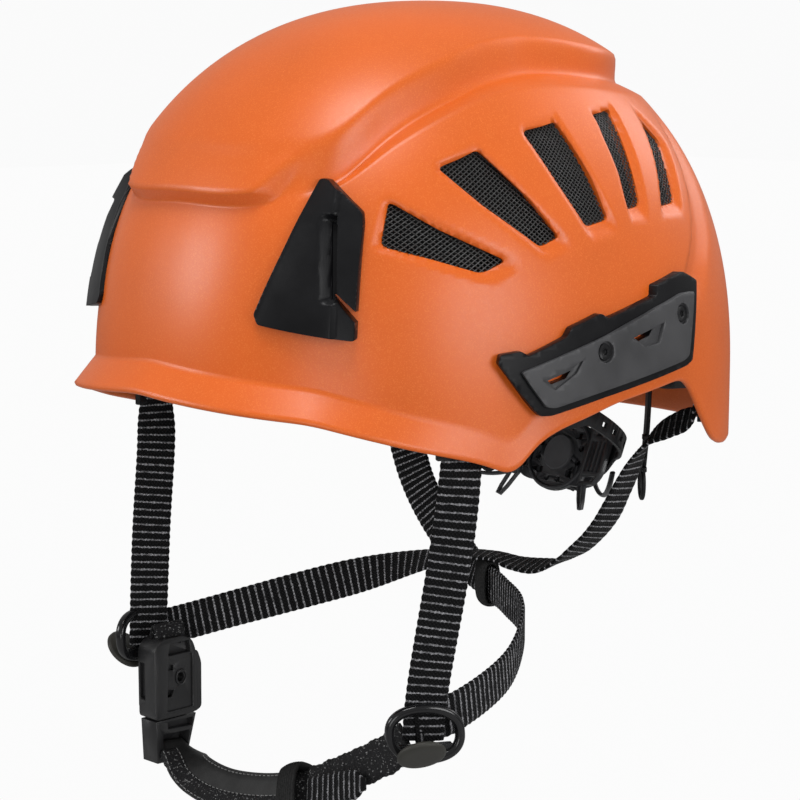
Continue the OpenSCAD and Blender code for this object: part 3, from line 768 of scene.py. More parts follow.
shellOrange = makeShellOrange()
blackPlastic = mouldedPlastic("blackPlastic", finish["blackPlastic"], 0.42)
satinBlack = mouldedPlastic("satinBlack", (0.007, 0.007, 0.008), 0.34, grain=1800.0, specular=0.16)
greyPlastic = mouldedPlastic("greyPlastic", finish["greyPlastic"], 0.46)
glossBlack = mouldedPlastic("glossBlack", (0.008, 0.008, 0.009), 0.16, grain=900.0, depth=0.00003,
                            coat=0.25, specular=0.35)
capPlastic = mouldedPlastic("capPlastic", (0.036, 0.035, 0.030), 0.46, specular=0.3)
blackSteel = mouldedPlastic("blackSteel", (0.012, 0.012, 0.013), 0.30, grain=1500.0, depth=0.00003)
webbingBlack = makeWebbing("webbingBlack", finish["webColour"], finish["threadColour"],
                           webbing["threadPitch"])
print("materials ready")
setFinish(shell, shellOrange)
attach(shell, "shell")
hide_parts("outer_shell")


straps = {
    "frontStrapLeft": {
        "node": "front_strap_left",
        "route": [(89.1, -66.9, 6), (89.1, -66.9, -8), (86, -69, -40), (78.6, -72.4, -86),
                  (76.2, -73.2, -108)],
        "widths": [(0.38, 0.92, 0), (0.4, 0.92, 0), (0.64, 0.77, 0), (0.52, 0.85, 0), (0.47, 0.88, 0)],
    },
    "frontStrapRight": {
        "node": "front_strap_right",
        "route": [(-89.1, -66.9, 6), (-89.1, -66.9, -7), (-88.2, -68, -24), (-87, -72, -58),
                  (-85.9, -75.6, -104)],
        "widths": [(-0.38, 0.92, 0), (0.1, 0.95, 0), (0.6, 0.8, 0), (0.6, 0.8, 0), (0.3, 0.95, 0)],
    },
    "crossStrapLeft": {
        "node": "cross_strap_left",
        "route": [(88, 62.6, 5), (85, 62.6, -4), (77, 60, -8.5), (68.8, 57.3, -13.4), (63.2, 55.5, -21),
                  (58.8, 53.9, -30.5), (55.1, 52.1, -39.2), (50.7, 50.2, -48.6), (44.4, 47.9, -57.2),
                  (36.2, 44.4, -65), (26, 41.5, -70.3), (13, 38.5, -71), (0, 34.6, -69.2), (-20, 23, -72),
                  (-50, 1, -82), (-74, -34, -92), (-85.6, -60.4, -97.5), (-86.6, -75.2, -98)],
        "widths": [(-0.4, 0.91, 0), (-0.3, 0.8, 0.45), (-0.25, 0.75, 0.55), (-0.3, 0.8, 0.4),
                   (-0.2, 0.9, 0.3), (-0.1, 0.97, 0.15), (-0.05, 0.98, 0.1), (0.05, 0.98, 0.1),
                   (0.15, 0.96, 0.15), (0.3, 0.9, 0.25), (0.2, 0.95, 0.25), (-0.2, 0.95, 0.1),
                   (-0.5, 0.85, 0), (-0.5, 0.8, 0.3), (-0.2, 0.4, 0.9), (0, 0, 1), (0, 0, 1), (0, 0, 1)],
    },
    "crossStrapRight": {
        "node": "cross_strap_right",
        "route": [(-88, 62.6, 5), (-86, 61, -12), (-76, 58, -32), (-62, 53, -50), (-42, 48, -66),
                  (-20, 43, -77), (0, 34, -80), (20, 24, -81), (46, 8, -84), (68, -22, -93),
                  (78.4, -57.5, -99.5), (75.4, -76.5, -102)],
        "widths": [(0.4, 0.91, 0), (0.5, 0.8, 0.3), (0.5, 0.7, 0.5), (0.4, 0.5, 0.75), (0.1, 0.4, 0.9),
                   (0, 0.3, 0.95), (0, 0, 1), (0, 0, 1), (0, 0, 1), (0, 0, 1), (0, 0, 1), (0, 0, 1)],
    },
}


def addStrap(name, facts):
    strap = ribbonMesh(name, facts["route"], facts["widths"])
    strap.data.materials.append(webbingBlack)
    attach(strap, "shell")
    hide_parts(facts["node"])
    return strap


for strapName, strapFacts in straps.items():
    addStrap(strapName, strapFacts)
print("straps:", len(straps))


def tidyMesh(bm, flatAngle=0.9):
    bmesh.ops.remove_doubles(bm, verts=bm.verts, dist=0.000004)
    bmesh.ops.dissolve_limit(bm, angle_limit=math.radians(flatAngle), verts=bm.verts, edges=bm.edges)
    bmesh.ops.recalc_face_normals(bm, faces=bm.faces)


def softenEdges(obj, width, segments=2, angle=32):
    # rounds the hard edges and shades the rest smooth
    edge = obj.modifiers.new("rounding", "BEVEL")
    edge.width = width * mm
    edge.segments = segments
    edge.limit_method = "ANGLE"
    edge.angle_limit = math.radians(angle)
    edge.harden_normals = True
    edge.use_clamp_overlap = True
    applyModifiers(obj)
    shadeSoft(obj)


def roundedNode(name, node, body, paint, width=0.4, segments=2, angle=32):
    # a part of the frame with its moulded edges rounded
    bm = bmesh.new()
    bm.from_mesh(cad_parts[node].data)
    tidyMesh(bm)
    mesh = bpy.data.meshes.new(name)
    bm.to_mesh(mesh)
    bm.free()
    obj = bpy.data.objects.new(name, mesh)
    bpy.context.scene.collection.objects.link(obj)
    softenEdges(obj, width, segments, angle)
    setFinish(obj, paint)
    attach(obj, body)
    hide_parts(node)
    return obj


rounded = [
    # piece, node of the frame, body, finish, edge radius
    ("rearLampClip", "rear_lamp_clip", "shell", satinBlack, 0.6),
    ("templeGuides", "temple_guides", "shell", blackPlastic, 0.5),
    ("anchorsFront", "strap_anchors_front", "shell", blackPlastic, 0.5),
    ("anchorsRear", "strap_anchors_rear", "shell", blackPlastic, 0.5),
    ("templeSliders", "temple_sliders", "slider", greyPlastic, 0.35),
    ("adjusterCover", "adjuster_cover", "cradle", blackPlastic, 0.5),
    ("adjusterPinion", "adjuster_pinion", "wheel", greyPlastic, 0.15),
    ("prongFront", "plug_prong_front", "prong_front", glossBlack, 0.3),
    ("prongRear", "plug_prong_rear", "prong_rear", glossBlack, 0.3),
]
for pieceName, nodeName, bodyName, pieceFinish, edgeWidth in rounded:
    roundedNode(pieceName, nodeName, bodyName, pieceFinish, edgeWidth)
for nodeName, nodeFinish in (("adjuster_axle", blackSteel), ("screw_inserts", blackSteel)):
    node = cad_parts[nodeName]
    setFinish(node, nodeFinish)
print("rounded parts:", len(rounded))


def surfaceFrame(angle, z, depth, side):
    # a frame on the side of the dome: x along the side, y up it, z outward
    here = sidePoint(angle, z, depth)
    ahead = sidePoint(angle + 1, z, depth) - sidePoint(angle - 1, z, depth)
    up = sidePoint(angle, z + 1, depth) - sidePoint(angle, z - 1, depth)
    x = unit(ahead)
    n = unit(np.cross(ahead, up))
    m = np.eye(4)
    m[:3, 0], m[:3, 1], m[:3, 2], m[:3, 3] = x, np.cross(n, x), n, here
    if side < 0:
        m = np.diag([-1.0, 1, 1, 1]) @ m @ np.diag([-1.0, 1, 1, 1])
    return m


def placed(points, m):
    p = np.asarray(points, float)
    return (np.c_[p, np.ones(len(p))] @ m.T)[:, :3]


def shiftFrame(m, x=0.0, y=0.0, z=0.0):
    shift = np.eye(4)
    shift[:3, 3] = (x, y, z)
    return m @ shift


def prismBetween(name, low, high):
    # closed block between two outlines of the same count
    n = len(low)
    faces = [tuple(range(n)), tuple(range(2 * n - 1, n - 1, -1))]
    faces += [(k, n + k, n + (k + 1) % n, (k + 1) % n) for k in range(n)]
    obj = meshObject(name, list(low) + list(high), faces, smooth=False)
    fixNormals(obj)
    return obj


def outlinePrism(name, outline, side, low, high, corner=0.6, flare=1.0):
    # a cutter through the side of the shell, from an outline of (angle, height) spots
    spots = roundedOutline([(a * degreeLength, z * heightLength) for a, z in outline], corner, 3)
    middle = np.mean(spots, axis=0)
    rings = []
    for rise, grow in ((low, 1.0), (high, flare)):
        ring = []
        for x, y in spots:
            gx, gy = middle + (np.array((x, y)) - middle) * grow
            p = sidePoint(gx / degreeLength, gy / heightLength, -rise)
            ring.append((p[0] * side, p[1], p[2]))
        rings.append(ring)
    return prismBetween(name, rings[0], rings[1])


def gridPatch(name, outline, side, rise, base=0.6, step=2.0):
    # a fine curved block over the bounds of an outline, standing off the shell by rise(angle, height)
    angles = [p[0] for p in outline]
    heights = [p[1] for p in outline]
    a0, a1, z0, z1 = min(angles) - 1.5, max(angles) + 1.5, min(heights) - 2, max(heights) + 2
    nc = max(int((a1 - a0) * degreeLength / step), 4) + 1
    nr = max(int((z1 - z0) / step), 4) + 1
    aa, zz = np.meshgrid(np.linspace(a0, a1, nc), np.linspace(z0, z1, nr))
    top = sidePoint(aa, zz, -rise(aa, zz))
    low = sidePoint(aa, zz, base)
    points = np.concatenate([top.reshape(-1, 3), low.reshape(-1, 3)])
    points[:, 0] *= side
    total = nr * nc
    faces = []
    for i in range(nr - 1):
        for j in range(nc - 1):
            a = i * nc + j
            faces.append((a, a + 1, a + nc + 1, a + nc))
            faces.append((total + a, total + a + nc, total + a + nc + 1, total + a + 1))
    edge = [j for j in range(nc)] + [i * nc + nc - 1 for i in range(1, nr)]
    edge += [(nr - 1) * nc + j for j in range(nc - 2, -1, -1)] + [i * nc for i in range(nr - 2, 0, -1)]
    for k in range(len(edge)):
        a, b = edge[k], edge[(k + 1) % len(edge)]
        faces.append((a, total + a, total + b, b))
    obj = meshObject(name, points, faces, smooth=False)
    fixNormals(obj)
    return obj


def booleanWith(obj, tools, operation, solver="MANIFOLD"):
    for tool in tools:
        step = obj.modifiers.new("shape", "BOOLEAN")
        step.operation = operation
        step.solver = solver
        step.object = tool
        applyModifiers(obj)
        bpy.data.objects.remove(tool)


def moulding(name, outline, side, rise, base=0.6, corner=0.8, cuts=(), flare=1.0):
    body = gridPatch(name, outline, side, rise, base)
    booleanWith(body, [outlinePrism(name + "Outline", outline, side, -3, 11, corner, flare)], "INTERSECT")
    booleanWith(body, list(cuts), "DIFFERENCE")
    return body


adapter = {
    "rimRise": 3.5,
    "faceRise": 5.0,
    "rim": [(59.0, 28.6), (59.4, 31.6), (63.4, 32.4), (64.9, 30.6), (73.0, 36.0), (74.3, 39.2), (81.7, 43.2),
            (83.6, 41.2), (97.6, 47.2), (98.2, 51.2), (107.2, 54.9), (112.0, 51.0), (108.3, 22.0),
            (106.4, 20.4), (69.6, 9.0), (67.2, 9.2), (65.8, 11.6)],
    "face": [(62.6, 25.2), (96.6, 43.6), (105.0, 47.6), (109.6, 47.8), (106.3, 24.2), (104.6, 22.6),
             (69.4, 11.4), (67.6, 12.0)],
    "windows": [
        {"frame": [(67.2, 22.0), (76.3, 27.7), (74.7, 23.3), (70.0, 18.1)],
         "slot": [(68.6, 21.5), (73.8, 24.4), (72.6, 21.7), (69.3, 20.1)]},
        {"frame": [(88.9, 33.4), (98.4, 37.9), (96.7, 30.6), (92.6, 29.8)],
         "slot": [(90.0, 33.5), (95.8, 36.3), (94.4, 33.4), (91.2, 31.9)]},
    ],
    "screws": [(81.6, 29.4), (104.8, 39.4)],
}
adapterGrey = mouldedPlastic("adapterGrey", (0.056, 0.056, 0.059), 0.42, specular=0.35)


def cylinderMesh(name, radius, low, high, sides, m=None, top=1.0):
    turn = [2 * math.pi * k / sides for k in range(sides)]
    a = [(radius * math.cos(t), radius * math.sin(t), low) for t in turn]
    b = [(radius * top * math.cos(t), radius * top * math.sin(t), high) for t in turn]
    if m is not None:
        a, b = placed(a, m), placed(b, m)
    return prismBetween(name, list(map(tuple, a)), list(map(tuple, b)))


def buildAdapter(side, name):
    rimBody = moulding(name, adapter["rim"], side, lambda a, z: adapter["rimRise"] + 0 * a)
    faceCuts, rimCuts = [], []
    for window in adapter["windows"]:
        faceCuts.append(outlinePrism("windowFrame", window["frame"], side, 3.7, 6.5, 0.5, 1.0))
        for cuts in (faceCuts, rimCuts):
            cuts.append(outlinePrism("windowSlot", window["slot"], side, -4, 9, 0.4))
    for angle, z in adapter["screws"]:
        m = surfaceFrame(angle, z, 0, side)
        faceCuts.append(cylinderMesh("screwSink", 3.9, 3.6, 9, 36, m, 1.0))
        for cuts in (faceCuts, rimCuts):
            cuts.append(cylinderMesh("screwBore", 2.2, -4, 12, 20, m))
    booleanWith(rimBody, rimCuts, "DIFFERENCE")
    face = moulding(name + "Face", adapter["face"], side, lambda a, z: adapter["faceRise"] + 0 * a,
                    base=-3.2, corner=1.2, cuts=faceCuts, flare=0.96)
    for part, paint, width in ((rimBody, satinBlack, 0.55), (face, adapterGrey, 0.3)):
        softenEdges(part, width, 2, 38)
        setFinish(part, paint)
    return rimBody, face


for side, name, node in ((1, "adapterLeft", "adapter_left"), (-1, "adapterRight", "adapter_right")):
    for piece in buildAdapter(side, name):
        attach(piece, "shell")
        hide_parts(node)
print("adapters built")


clip = {
    "outline": [(28.0, 91.9), (29.8, 91.7), (36.2, 80.8), (36.5, 77.0), (36.1, 37.9), (21.0, 42.6),
                (20.2, 46.0)],
    "slot": [(31.3, 77.8), (32.6, 76.8), (33.4, 52.6), (32.3, 51.6)],
    "slit": [(32.4, 53.4), (33.4, 53.6), (37.6, 44.8), (37.6, 41.0)],
    "frontRise": 1.6,
    "slotRise": 5.4,
    "cheekRise": 4.6,
}


def clipRise(angle, z):
    # thin along the front edge, thick at the slot, with a slope falling into the slot
    front = 20.4 + np.clip((z - 44) / 48, 0, 1) * 7.6
    slot = 31.6 + np.clip((78 - z) / 26, 0, 1) * 1.0
    share = np.clip((angle - front) / (slot - front), 0, 1)
    rise = clip["frontRise"] + (clip["slotRise"] - clip["frontRise"]) * share
    rise = rise - 0.8 * ease((z - 76) / 14)
    slope = np.clip((angle - (slot - 1.9)) / 1.5, 0, 1)
    inSlot = ease((z - 50) / 2.2) * ease((80.5 - z) / 2.2)
    rise = rise - 3.6 * slope * inSlot * (angle < slot + 0.5)
    cheek = clip["cheekRise"] - 0.9 * ease((z - 60) / 24)
    return np.where(angle > slot + 0.5, cheek, np.maximum(rise, 1.2))


def buildClip(side, name):
    cuts = [outlinePrism("clipSlot", clip["slot"], side, 1.0, 11, 0.3),
            outlinePrism("clipSlit", clip["slit"], side, -2, 11, 0.2)]
    body = gridPatch(name, clip["outline"], side, clipRise, 0.5, 0.7)
    booleanWith(body, [outlinePrism(name + "Outline", clip["outline"], side, -3, 11, 1.0)], "INTERSECT")
    booleanWith(body, cuts, "DIFFERENCE")
    softenEdges(body, 0.35, 2, 42)
    setFinish(body, satinBlack)
    return body


for side, name, node in ((1, "lampClipLeft", "lamp_clip_left"), (-1, "lampClipRight", "lamp_clip_right")):
    made = buildClip(side, name)
    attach(made, "shell")
    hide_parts(node)
print("lamp clips built")


ventMesh = {
    "pitch": 1.5,            # from one wire to the next, along the weave
    "wire": 0.24,            # radius of a wire
    "depth": 2.5,            # below the dome's surface
    "margin": 2.6,           # how far the mesh runs past the edge of a vent
}


def geometryTree(name, sockets):
    tree = bpy.data.node_groups.new(name, "GeometryNodeTree")
    tree.interface.new_socket("Geometry", in_out="INPUT", socket_type="NodeSocketGeometry")
    tree.interface.new_socket("Geometry", in_out="OUTPUT", socket_type="NodeSocketGeometry")
    for label, kind in sockets:
        tree.interface.new_socket(label, in_out="INPUT", socket_type=kind)
    return tree, tree.nodes.new("NodeGroupInput"), tree.nodes.new("NodeGroupOutput")


def closeTree(tree, start, end, source):
    # every tree ends in plain geometry with its finish set
    real = tree.nodes.new("GeometryNodeRealizeInstances")
    paint = tree.nodes.new("GeometryNodeSetMaterial")
    link = tree.links.new
    link(source, real.inputs["Geometry"])
    link(real.outputs["Geometry"], paint.inputs["Geometry"])
    link(start.outputs["Finish"], paint.inputs["Material"])
    link(paint.outputs["Geometry"], end.inputs["Geometry"])


def runTree(obj, tree, values):
    # sets the named inputs by identifier, then keeps the result as a plain mesh
    step = obj.modifiers.new("nodes", "NODES")
    step.node_group = tree
    ids = {item.name: item.identifier for item in tree.interface.items_tree if item.in_out == "INPUT"}
    for label, value in values.items():
        step[ids[label]] = value
    applyModifiers(obj)


def wireTree():
    tree, start, end = geometryTree("woven wires", [
        ("Wire radius", "NodeSocketFloat"), ("Sides", "NodeSocketInt"), ("Finish", "NodeSocketMaterial")])
    n, link = tree.nodes, tree.links.new
    lines = n.new("GeometryNodeMeshToCurve")
    ring = n.new("GeometryNodeCurvePrimitiveCircle")
    tube = n.new("GeometryNodeCurveToMesh")
    link(start.outputs["Geometry"], lines.inputs["Mesh"])
    link(start.outputs["Wire radius"], ring.inputs["Radius"])
    link(start.outputs["Sides"], ring.inputs["Resolution"])
    link(lines.outputs["Curve"], tube.inputs["Curve"])
    link(ring.outputs["Curve"], tube.inputs["Profile Curve"])
    tube.inputs["Fill Caps"].default_value = True
    closeTree(tree, start, end, tube.outputs["Mesh"])
    return tree


def meshWires(side, name, tree):
    # diagonal wires over each vent, woven over and under, as lines for the tree
    points, edges = [], []
    p = ventMesh["pitch"] / math.sqrt(2)
    for corners in vents:
        plane = ventPlane(corners)
        xs = [q[0] for q in plane]
        ys = [q[1] for q in plane]
        x0, x1 = min(xs) - 4, max(xs) + 4
        y0, y1 = min(ys) - 4, max(ys) + 4
        for slant in (1, -1):
            reach = y1 - y0
            starts = np.arange(x0 - reach, x1 + reach, 2 * p)
            for k, sx in enumerate(starts):
                ty = np.arange(y0, y1, p)
                tx = sx + slant * (ty - y0)
                keep = polygonDistance(tx, ty, plane) < ventMesh["margin"]
                weave = 0.16 * np.where((np.arange(len(ty)) + k) % 2 == 0, 1, -1) * slant
                spot = sidePoint(tx / degreeLength, ty / heightLength, ventMesh["depth"])
                away = sidePoint(tx / degreeLength, ty / heightLength, ventMesh["depth"] - 1) - spot
                spot = spot + away * weave[:, None]
                last = None
                for j in range(len(ty)):
                    if not keep[j]:
                        last = None
                        continue
                    points.append((spot[j][0] * side, spot[j][1], spot[j][2]))
                    if last is not None:
                        edges.append((last, len(points) - 1))
                    last = len(points) - 1
    data = bpy.data.meshes.new(name)
    data.from_pydata([tuple(c * mm for c in q) for q in points], edges, [])
    obj = bpy.data.objects.new(name, data)
    bpy.context.scene.collection.objects.link(obj)
    runTree(obj, tree, {"Wire radius": ventMesh["wire"] * mm, "Sides": 4, "Finish": meshWire})
    return obj


meshWire = newMaterial("meshWire", (0.035, 0.036, 0.038), 0.34, specular=0.6)
# painted glints: the wire's colour runs from near black to lighter fine specks, standing in for its sheen
wireSheen = noise(meshWire, 2600.0, 1.0)
paintedWireGlints = ramp(meshWire, wireSheen, "Fac", [(0.35, grey(0.006)), (0.66, grey(0.05))])
paintSurface(meshWire, paintedWireGlints)
woven = wireTree()
for side, name, node in ((1, "ventMeshLeft", "vent_mesh_left"), (-1, "ventMeshRight", "vent_mesh_right")):
    made = meshWires(side, name, woven)
    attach(made, "shell")
    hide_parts(node)
    print(name, len(made.data.polygons), "faces")


liner = {
    "gap": 4.0,
    "wall": 17.0,
    "edge": 2.2,
    # lower edge by angle from the front
    "rim": [(0, 24), (30, 18), (45, 9), (66, 7), (87, 18), (108, 23), (126, 16), (150, 0), (180, -4)],
}


def linerRows(azimuth, depth, count, inset=0.0):
    angle = frontAngle(azimuth)
    low = domeAngle(azimuth, smoothTable(liner["rim"], angle) + inset, depth)
    rows = []
    for i in range(count + 1):
        elevation = low + (89.0 - low) * i / count
        rows.append(domePoint(azimuth, elevation, depth))
    return np.array(rows)


def buildLiner():
    azimuth = np.linspace(0, 360, 241)[:-1]
    outer = linerRows(azimuth, liner["gap"] + 0.2, 44, liner["edge"] * 0.8)
    inner = linerRows(azimuth, liner["gap"] + liner["wall"], 44, liner["edge"] * 0.8)
    turns = np.radians([0, 30, 60])
    # the lower edge is rolled over from the inner face to the outer one
    edgeOut = [linerRows(azimuth, liner["gap"] + 0.2 + liner["edge"] * (1 - math.cos(t)), 1,
                         liner["edge"] * 0.8 * (1 - math.sin(t)))[0] for t in turns[1:]]
    edgeIn = [linerRows(azimuth, liner["gap"] + liner["wall"] - liner["edge"] * (1 - math.cos(t)), 1,
                        liner["edge"] * 0.8 * (1 - math.sin(t)))[0] for t in turns[1:]]
    stack = np.concatenate([inner[::-1], np.array(edgeIn), np.array(edgeOut[::-1]), outer])
    rows, cols = len(stack), len(azimuth)
    points = stack.reshape(-1, 3).tolist()
    points.append(domePoint(np.array(0.0), np.array(90.0), liner["gap"] + liner["wall"]).tolist())
    points.append(domePoint(np.array(0.0), np.array(90.0), liner["gap"] + 0.2).tolist())
    faces = []
    for i in range(rows - 1):
        for j in range(cols):
            k = (j + 1) % cols
            faces.append((i * cols + j, i * cols + k, (i + 1) * cols + k, (i + 1) * cols + j))
    for j in range(cols):
        k = (j + 1) % cols
        faces.append((k, j, rows * cols))
        faces.append(((rows - 1) * cols + j, (rows - 1) * cols + k, rows * cols + 1))
    body = meshObject("foamLiner", points, faces)
    fixNormals(body)
    cutters = []
    for corners in vents:
        for side in (1, -1):
            outline = roundedOutline(ventPlane(corners), 2.4)
            rings = []
            for depth in (1.0, liner["gap"] + liner["wall"] + 6):
                ring = [sidePoint(x / degreeLength, y / heightLength, depth) for x, y in outline]
                rings.append([(p[0] * side, p[1], p[2]) for p in ring])
            cutters.append(prismBetween("linerVent", rings[0], rings[1]))
    booleanWith(body, [joinObjects("linerVents", cutters)], "DIFFERENCE")
    shadeSoft(body, 38)
    return body


def makeFoam():
    # moulded bead foam: small cells with darker seams
    paint = newMaterial("foamGrey", (0.030, 0.030, 0.032), 0.85, specular=0.25)
    beads = addNode(paint, "TexVoronoi", scale=420.0)
    beads.feature = "DISTANCE_TO_EDGE"
    spot = addNode(paint, "TexCoord")
    join(paint, spot, "Object", beads, "Vector")
    tone = ramp(paint, beads, "Distance", [(0.0, grey(0.012)), (0.12, grey(0.030)), (1.0, grey(0.040))])
    return paintSurface(paint, tone, None, bump(paint, beads, "Distance", 0.5, 0.0004))


foamGrey = makeFoam()
foamLiner = buildLiner()
setFinish(foamLiner, foamGrey)
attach(foamLiner, "shell")
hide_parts("foam_liner")
print("liner:", len(foamLiner.data.polygons), "faces")


def boxMesh(name, size, place=(0, 0, 0), m=None, taper=1.0):
    # a block; taper scales its lower end
    x, y, z = (s / 2 for s in size)
    low = [(-x * taper, -y * taper, -z), (x * taper, -y * taper, -z), (x * taper, y * taper, -z),
           (-x * taper, y * taper, -z)]
    high = [(-x, -y, z), (x, -y, z), (x, y, z), (-x, y, z)]
    low = [tuple(a + b for a, b in zip(p, place)) for p in low]
    high = [tuple(a + b for a, b in zip(p, place)) for p in high]
    if m is not None:
        low, high = placed(low, m), placed(high, m)
    return prismBetween(name, list(map(tuple, low)), list(map(tuple, high)))


def turnFrame(place, turn, tilt=0.0):
    # a frame turned about the vertical, then tipped about its own x
    a, b = math.radians(turn), math.radians(tilt)
    spin = np.array([[math.cos(a), -math.sin(a), 0], [math.sin(a), math.cos(a), 0], [0, 0, 1]])
    tip = np.array([[1, 0, 0], [0, math.cos(b), -math.sin(b)], [0, math.sin(b), math.cos(b)]])
    m = np.eye(4)
    m[:3, :3] = spin @ tip
    m[:3, 3] = place
    return m


def plateMesh(name, outline, low, high, m, corner=0.8):
    # a flat plate in the x-z plane of a frame, from y = low to y = high
    spots = roundedOutline(outline, corner, 4)
    a = placed([(x, low, z) for x, z in spots], m)
    b = placed([(x, high, z) for x, z in spots], m)
    return prismBetween(name, list(map(tuple, a)), list(map(tuple, b)))


def drumMesh(name, radius, low, high, m, x=0.0, z=0.0, sides=40, top=1.0, squash=1.0):
    # a round boss in the x-z plane of a frame
    turn = [2 * math.pi * k / sides for k in range(sides)]
    a = placed([(x + radius * math.cos(t), low, z + radius * squash * math.sin(t)) for t in turn], m)
    b = placed([(x + radius * top * math.cos(t), high, z + radius * squash * top * math.sin(t))
                for t in turn], m)
    return prismBetween(name, list(map(tuple, a)), list(map(tuple, b)))


def loopMesh(name, path, across, along, normals=None, sides=12, closed=True):
    # a bar of oval section swept round a path of points
    p = np.asarray(path, float)
    n = len(p)
    ahead = np.roll(p, -1, 0) - np.roll(p, 1, 0)
    if not closed:
        ahead[0], ahead[-1] = p[1] - p[0], p[-1] - p[-2]
    ahead = unit(ahead)
    face = unit(np.asarray(normals, float)) if normals is not None else np.tile([0.0, 1, 0], (n, 1))
    face = unit(face - ahead * (face * ahead).sum(-1, keepdims=True))
    out = np.cross(ahead, face)
    rings = []
    for k in range(sides):
        t = 2 * math.pi * k / sides
        c, s = math.cos(t), math.sin(t)
        c = math.copysign(abs(c) ** 0.75, c)
        s = math.copysign(abs(s) ** 0.75, s)
        rings.append(p + out * across * c + face * along * s)
    ring = np.stack(rings, 1).reshape(-1, 3)
    faces = []
    for i in range(n if closed else n - 1):
        for j in range(sides):
            a, b = (i + 1) % n, (j + 1) % sides
            faces.append((i * sides + j, a * sides + j, a * sides + b, i * sides + b))
    if not closed:
        faces.append(tuple(range(sides)))
        faces.append(tuple((n - 1) * sides + j for j in range(sides - 1, -1, -1)))
    obj = meshObject(name, ring, faces)
    fixNormals(obj)
    return obj


def finished(obj, body, node, paint, width=0.35, angle=35, segments=2):
    if width:
        softenEdges(obj, width, segments, angle)
    setFinish(obj, paint)
    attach(obj, body)
    if node:
        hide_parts(node)
    return obj


divider = {
    "halfWidth": 12.9,
    "halfHeight": 9.3,
    "ringAcross": 1.75,
    "ringAlong": 1.9,
    "plate": [(-10.6, -5.8), (-9.6, -8.4), (-6, -10.4), (6, -10.4), (9.6, -8.4), (10.6, -5.8)],
    "capTilt": 46,
    # the cap's section: radius, then depth
    "capRings": [(5.5, 0.02), (7.6, 0.12), (8.5, 0.42), (8.9, 1.0), (8.8, 1.9), (8.1, 2.5)],
    "capSides": 56,
}
dividerFrames = {"Left": turnFrame((78, -74, -103), 62), "Right": turnFrame((-88.4, -76.8, -98), -72)}


def buildDivider(side, m, node):
    turn = np.linspace(0, 2 * math.pi, 73)[:-1]
    path = []
    for t in turn:
        c, s = math.cos(t), math.sin(t)
        x = divider["halfWidth"] * math.copysign(abs(c) ** 0.86, c) - 1.3 * s * (1 if side == "Left" else -1)
        z = divider["halfHeight"] * math.copysign(abs(s) ** 0.86, s)
        path.append((x, -0.7 - 1.0 * (z / 10) ** 2 * (1 if z > 0 else 0.4), z - 1.8))
    across = m[:3, :3] @ np.array([0.0, 1, 0])
    ring = loopMesh("divider" + side, placed(path, m), divider["ringAcross"], divider["ringAlong"],
                    np.tile(across, (len(path), 1)), 16)
    # the lower half is closed by a plate under the cap, with a bar for the webbing
    plate = plateMesh("dividerPlate", divider["plate"], -1.4, 1.2, m, 2.0)
    softenEdges(plate, 0.4)
    obj = joinObjects("divider" + side, [ring, plate])
    shadeSoft(obj)
    return finished(obj, "shell", node, glossBlack, 0)


def buildCap(side, m, body, node):
    # a shallow lens, tipped down, with a soft edge
    tip = turnFrame((0, 0, 0), 0, divider["capTilt"])
    tip[:3, 3] = (-2.6 if side == "Left" else 2.6, -5.2, -7.4)
    frameHere = m @ tip
    points, faces = [], []
    sides = divider["capSides"]
    for r, y in divider["capRings"]:
        points += [(r * math.cos(2 * math.pi * k / sides), y - 2.2, r * math.sin(2 * math.pi * k / sides))
                   for k in range(sides)]
    rows = len(divider["capRings"])
    points += [(0, -2.2, 0), (0, 0.4, 0)]
    for i in range(rows - 1):
        for k in range(sides):
            j = (k + 1) % sides
            faces.append((i * sides + k, i * sides + j, (i + 1) * sides + j, (i + 1) * sides + k))
    for k in range(sides):
        j = (k + 1) % sides
        faces.append((j, k, rows * sides))
        faces.append(((rows - 1) * sides + k, (rows - 1) * sides + j, rows * sides + 1))
    obj = meshObject("dividerCap" + side, placed(points, frameHere), faces)
    fixNormals(obj)
    return finished(obj, body, node, capPlastic, 0)


for side, m in dividerFrames.items():
    buildDivider(side, m, "divider_" + side.lower())
    buildCap(side, m, "cap_" + side.lower(), "divider_cap_" + side.lower())
print("dividers built")


buckle = {
    "place": (-76, -73, -115),
    "turn": 92,
    "socket": [(-10.8, -16.2), (10.6, -16.2), (10.6, 9.5), (8.6, 14.6), (4, 16.6), (-7, 16.6), (-10.8, 12.8)],
    "wing": [(9.6, -16.6), (13.6, -15), (13.8, 4), (12, 9), (9.6, 10)],
    "spine": [(-9.4, -13), (6, -13), (6, 10), (-9.4, 10)],
    "panel": [(-4.6, -13.6), (8.6, -13.6), (8.6, 8.8), (-3.6, 8.8)],
    "plugSlot": [(-4.4, -17.9), (9.0, -18.2), (8.6, -21.6), (-4.0, -21.0)],
    "plugPocket": [(-6.6, -22.8), (7.4, -23.2), (5.8, -31.6), (-6.2, -33.2)],
}
buckleBlack = mouldedPlastic("buckleBlack", (0.019, 0.019, 0.020), 0.38, grain=1800.0, specular=0.4)
buckleFrame = turnFrame(buckle["place"], buckle["turn"])


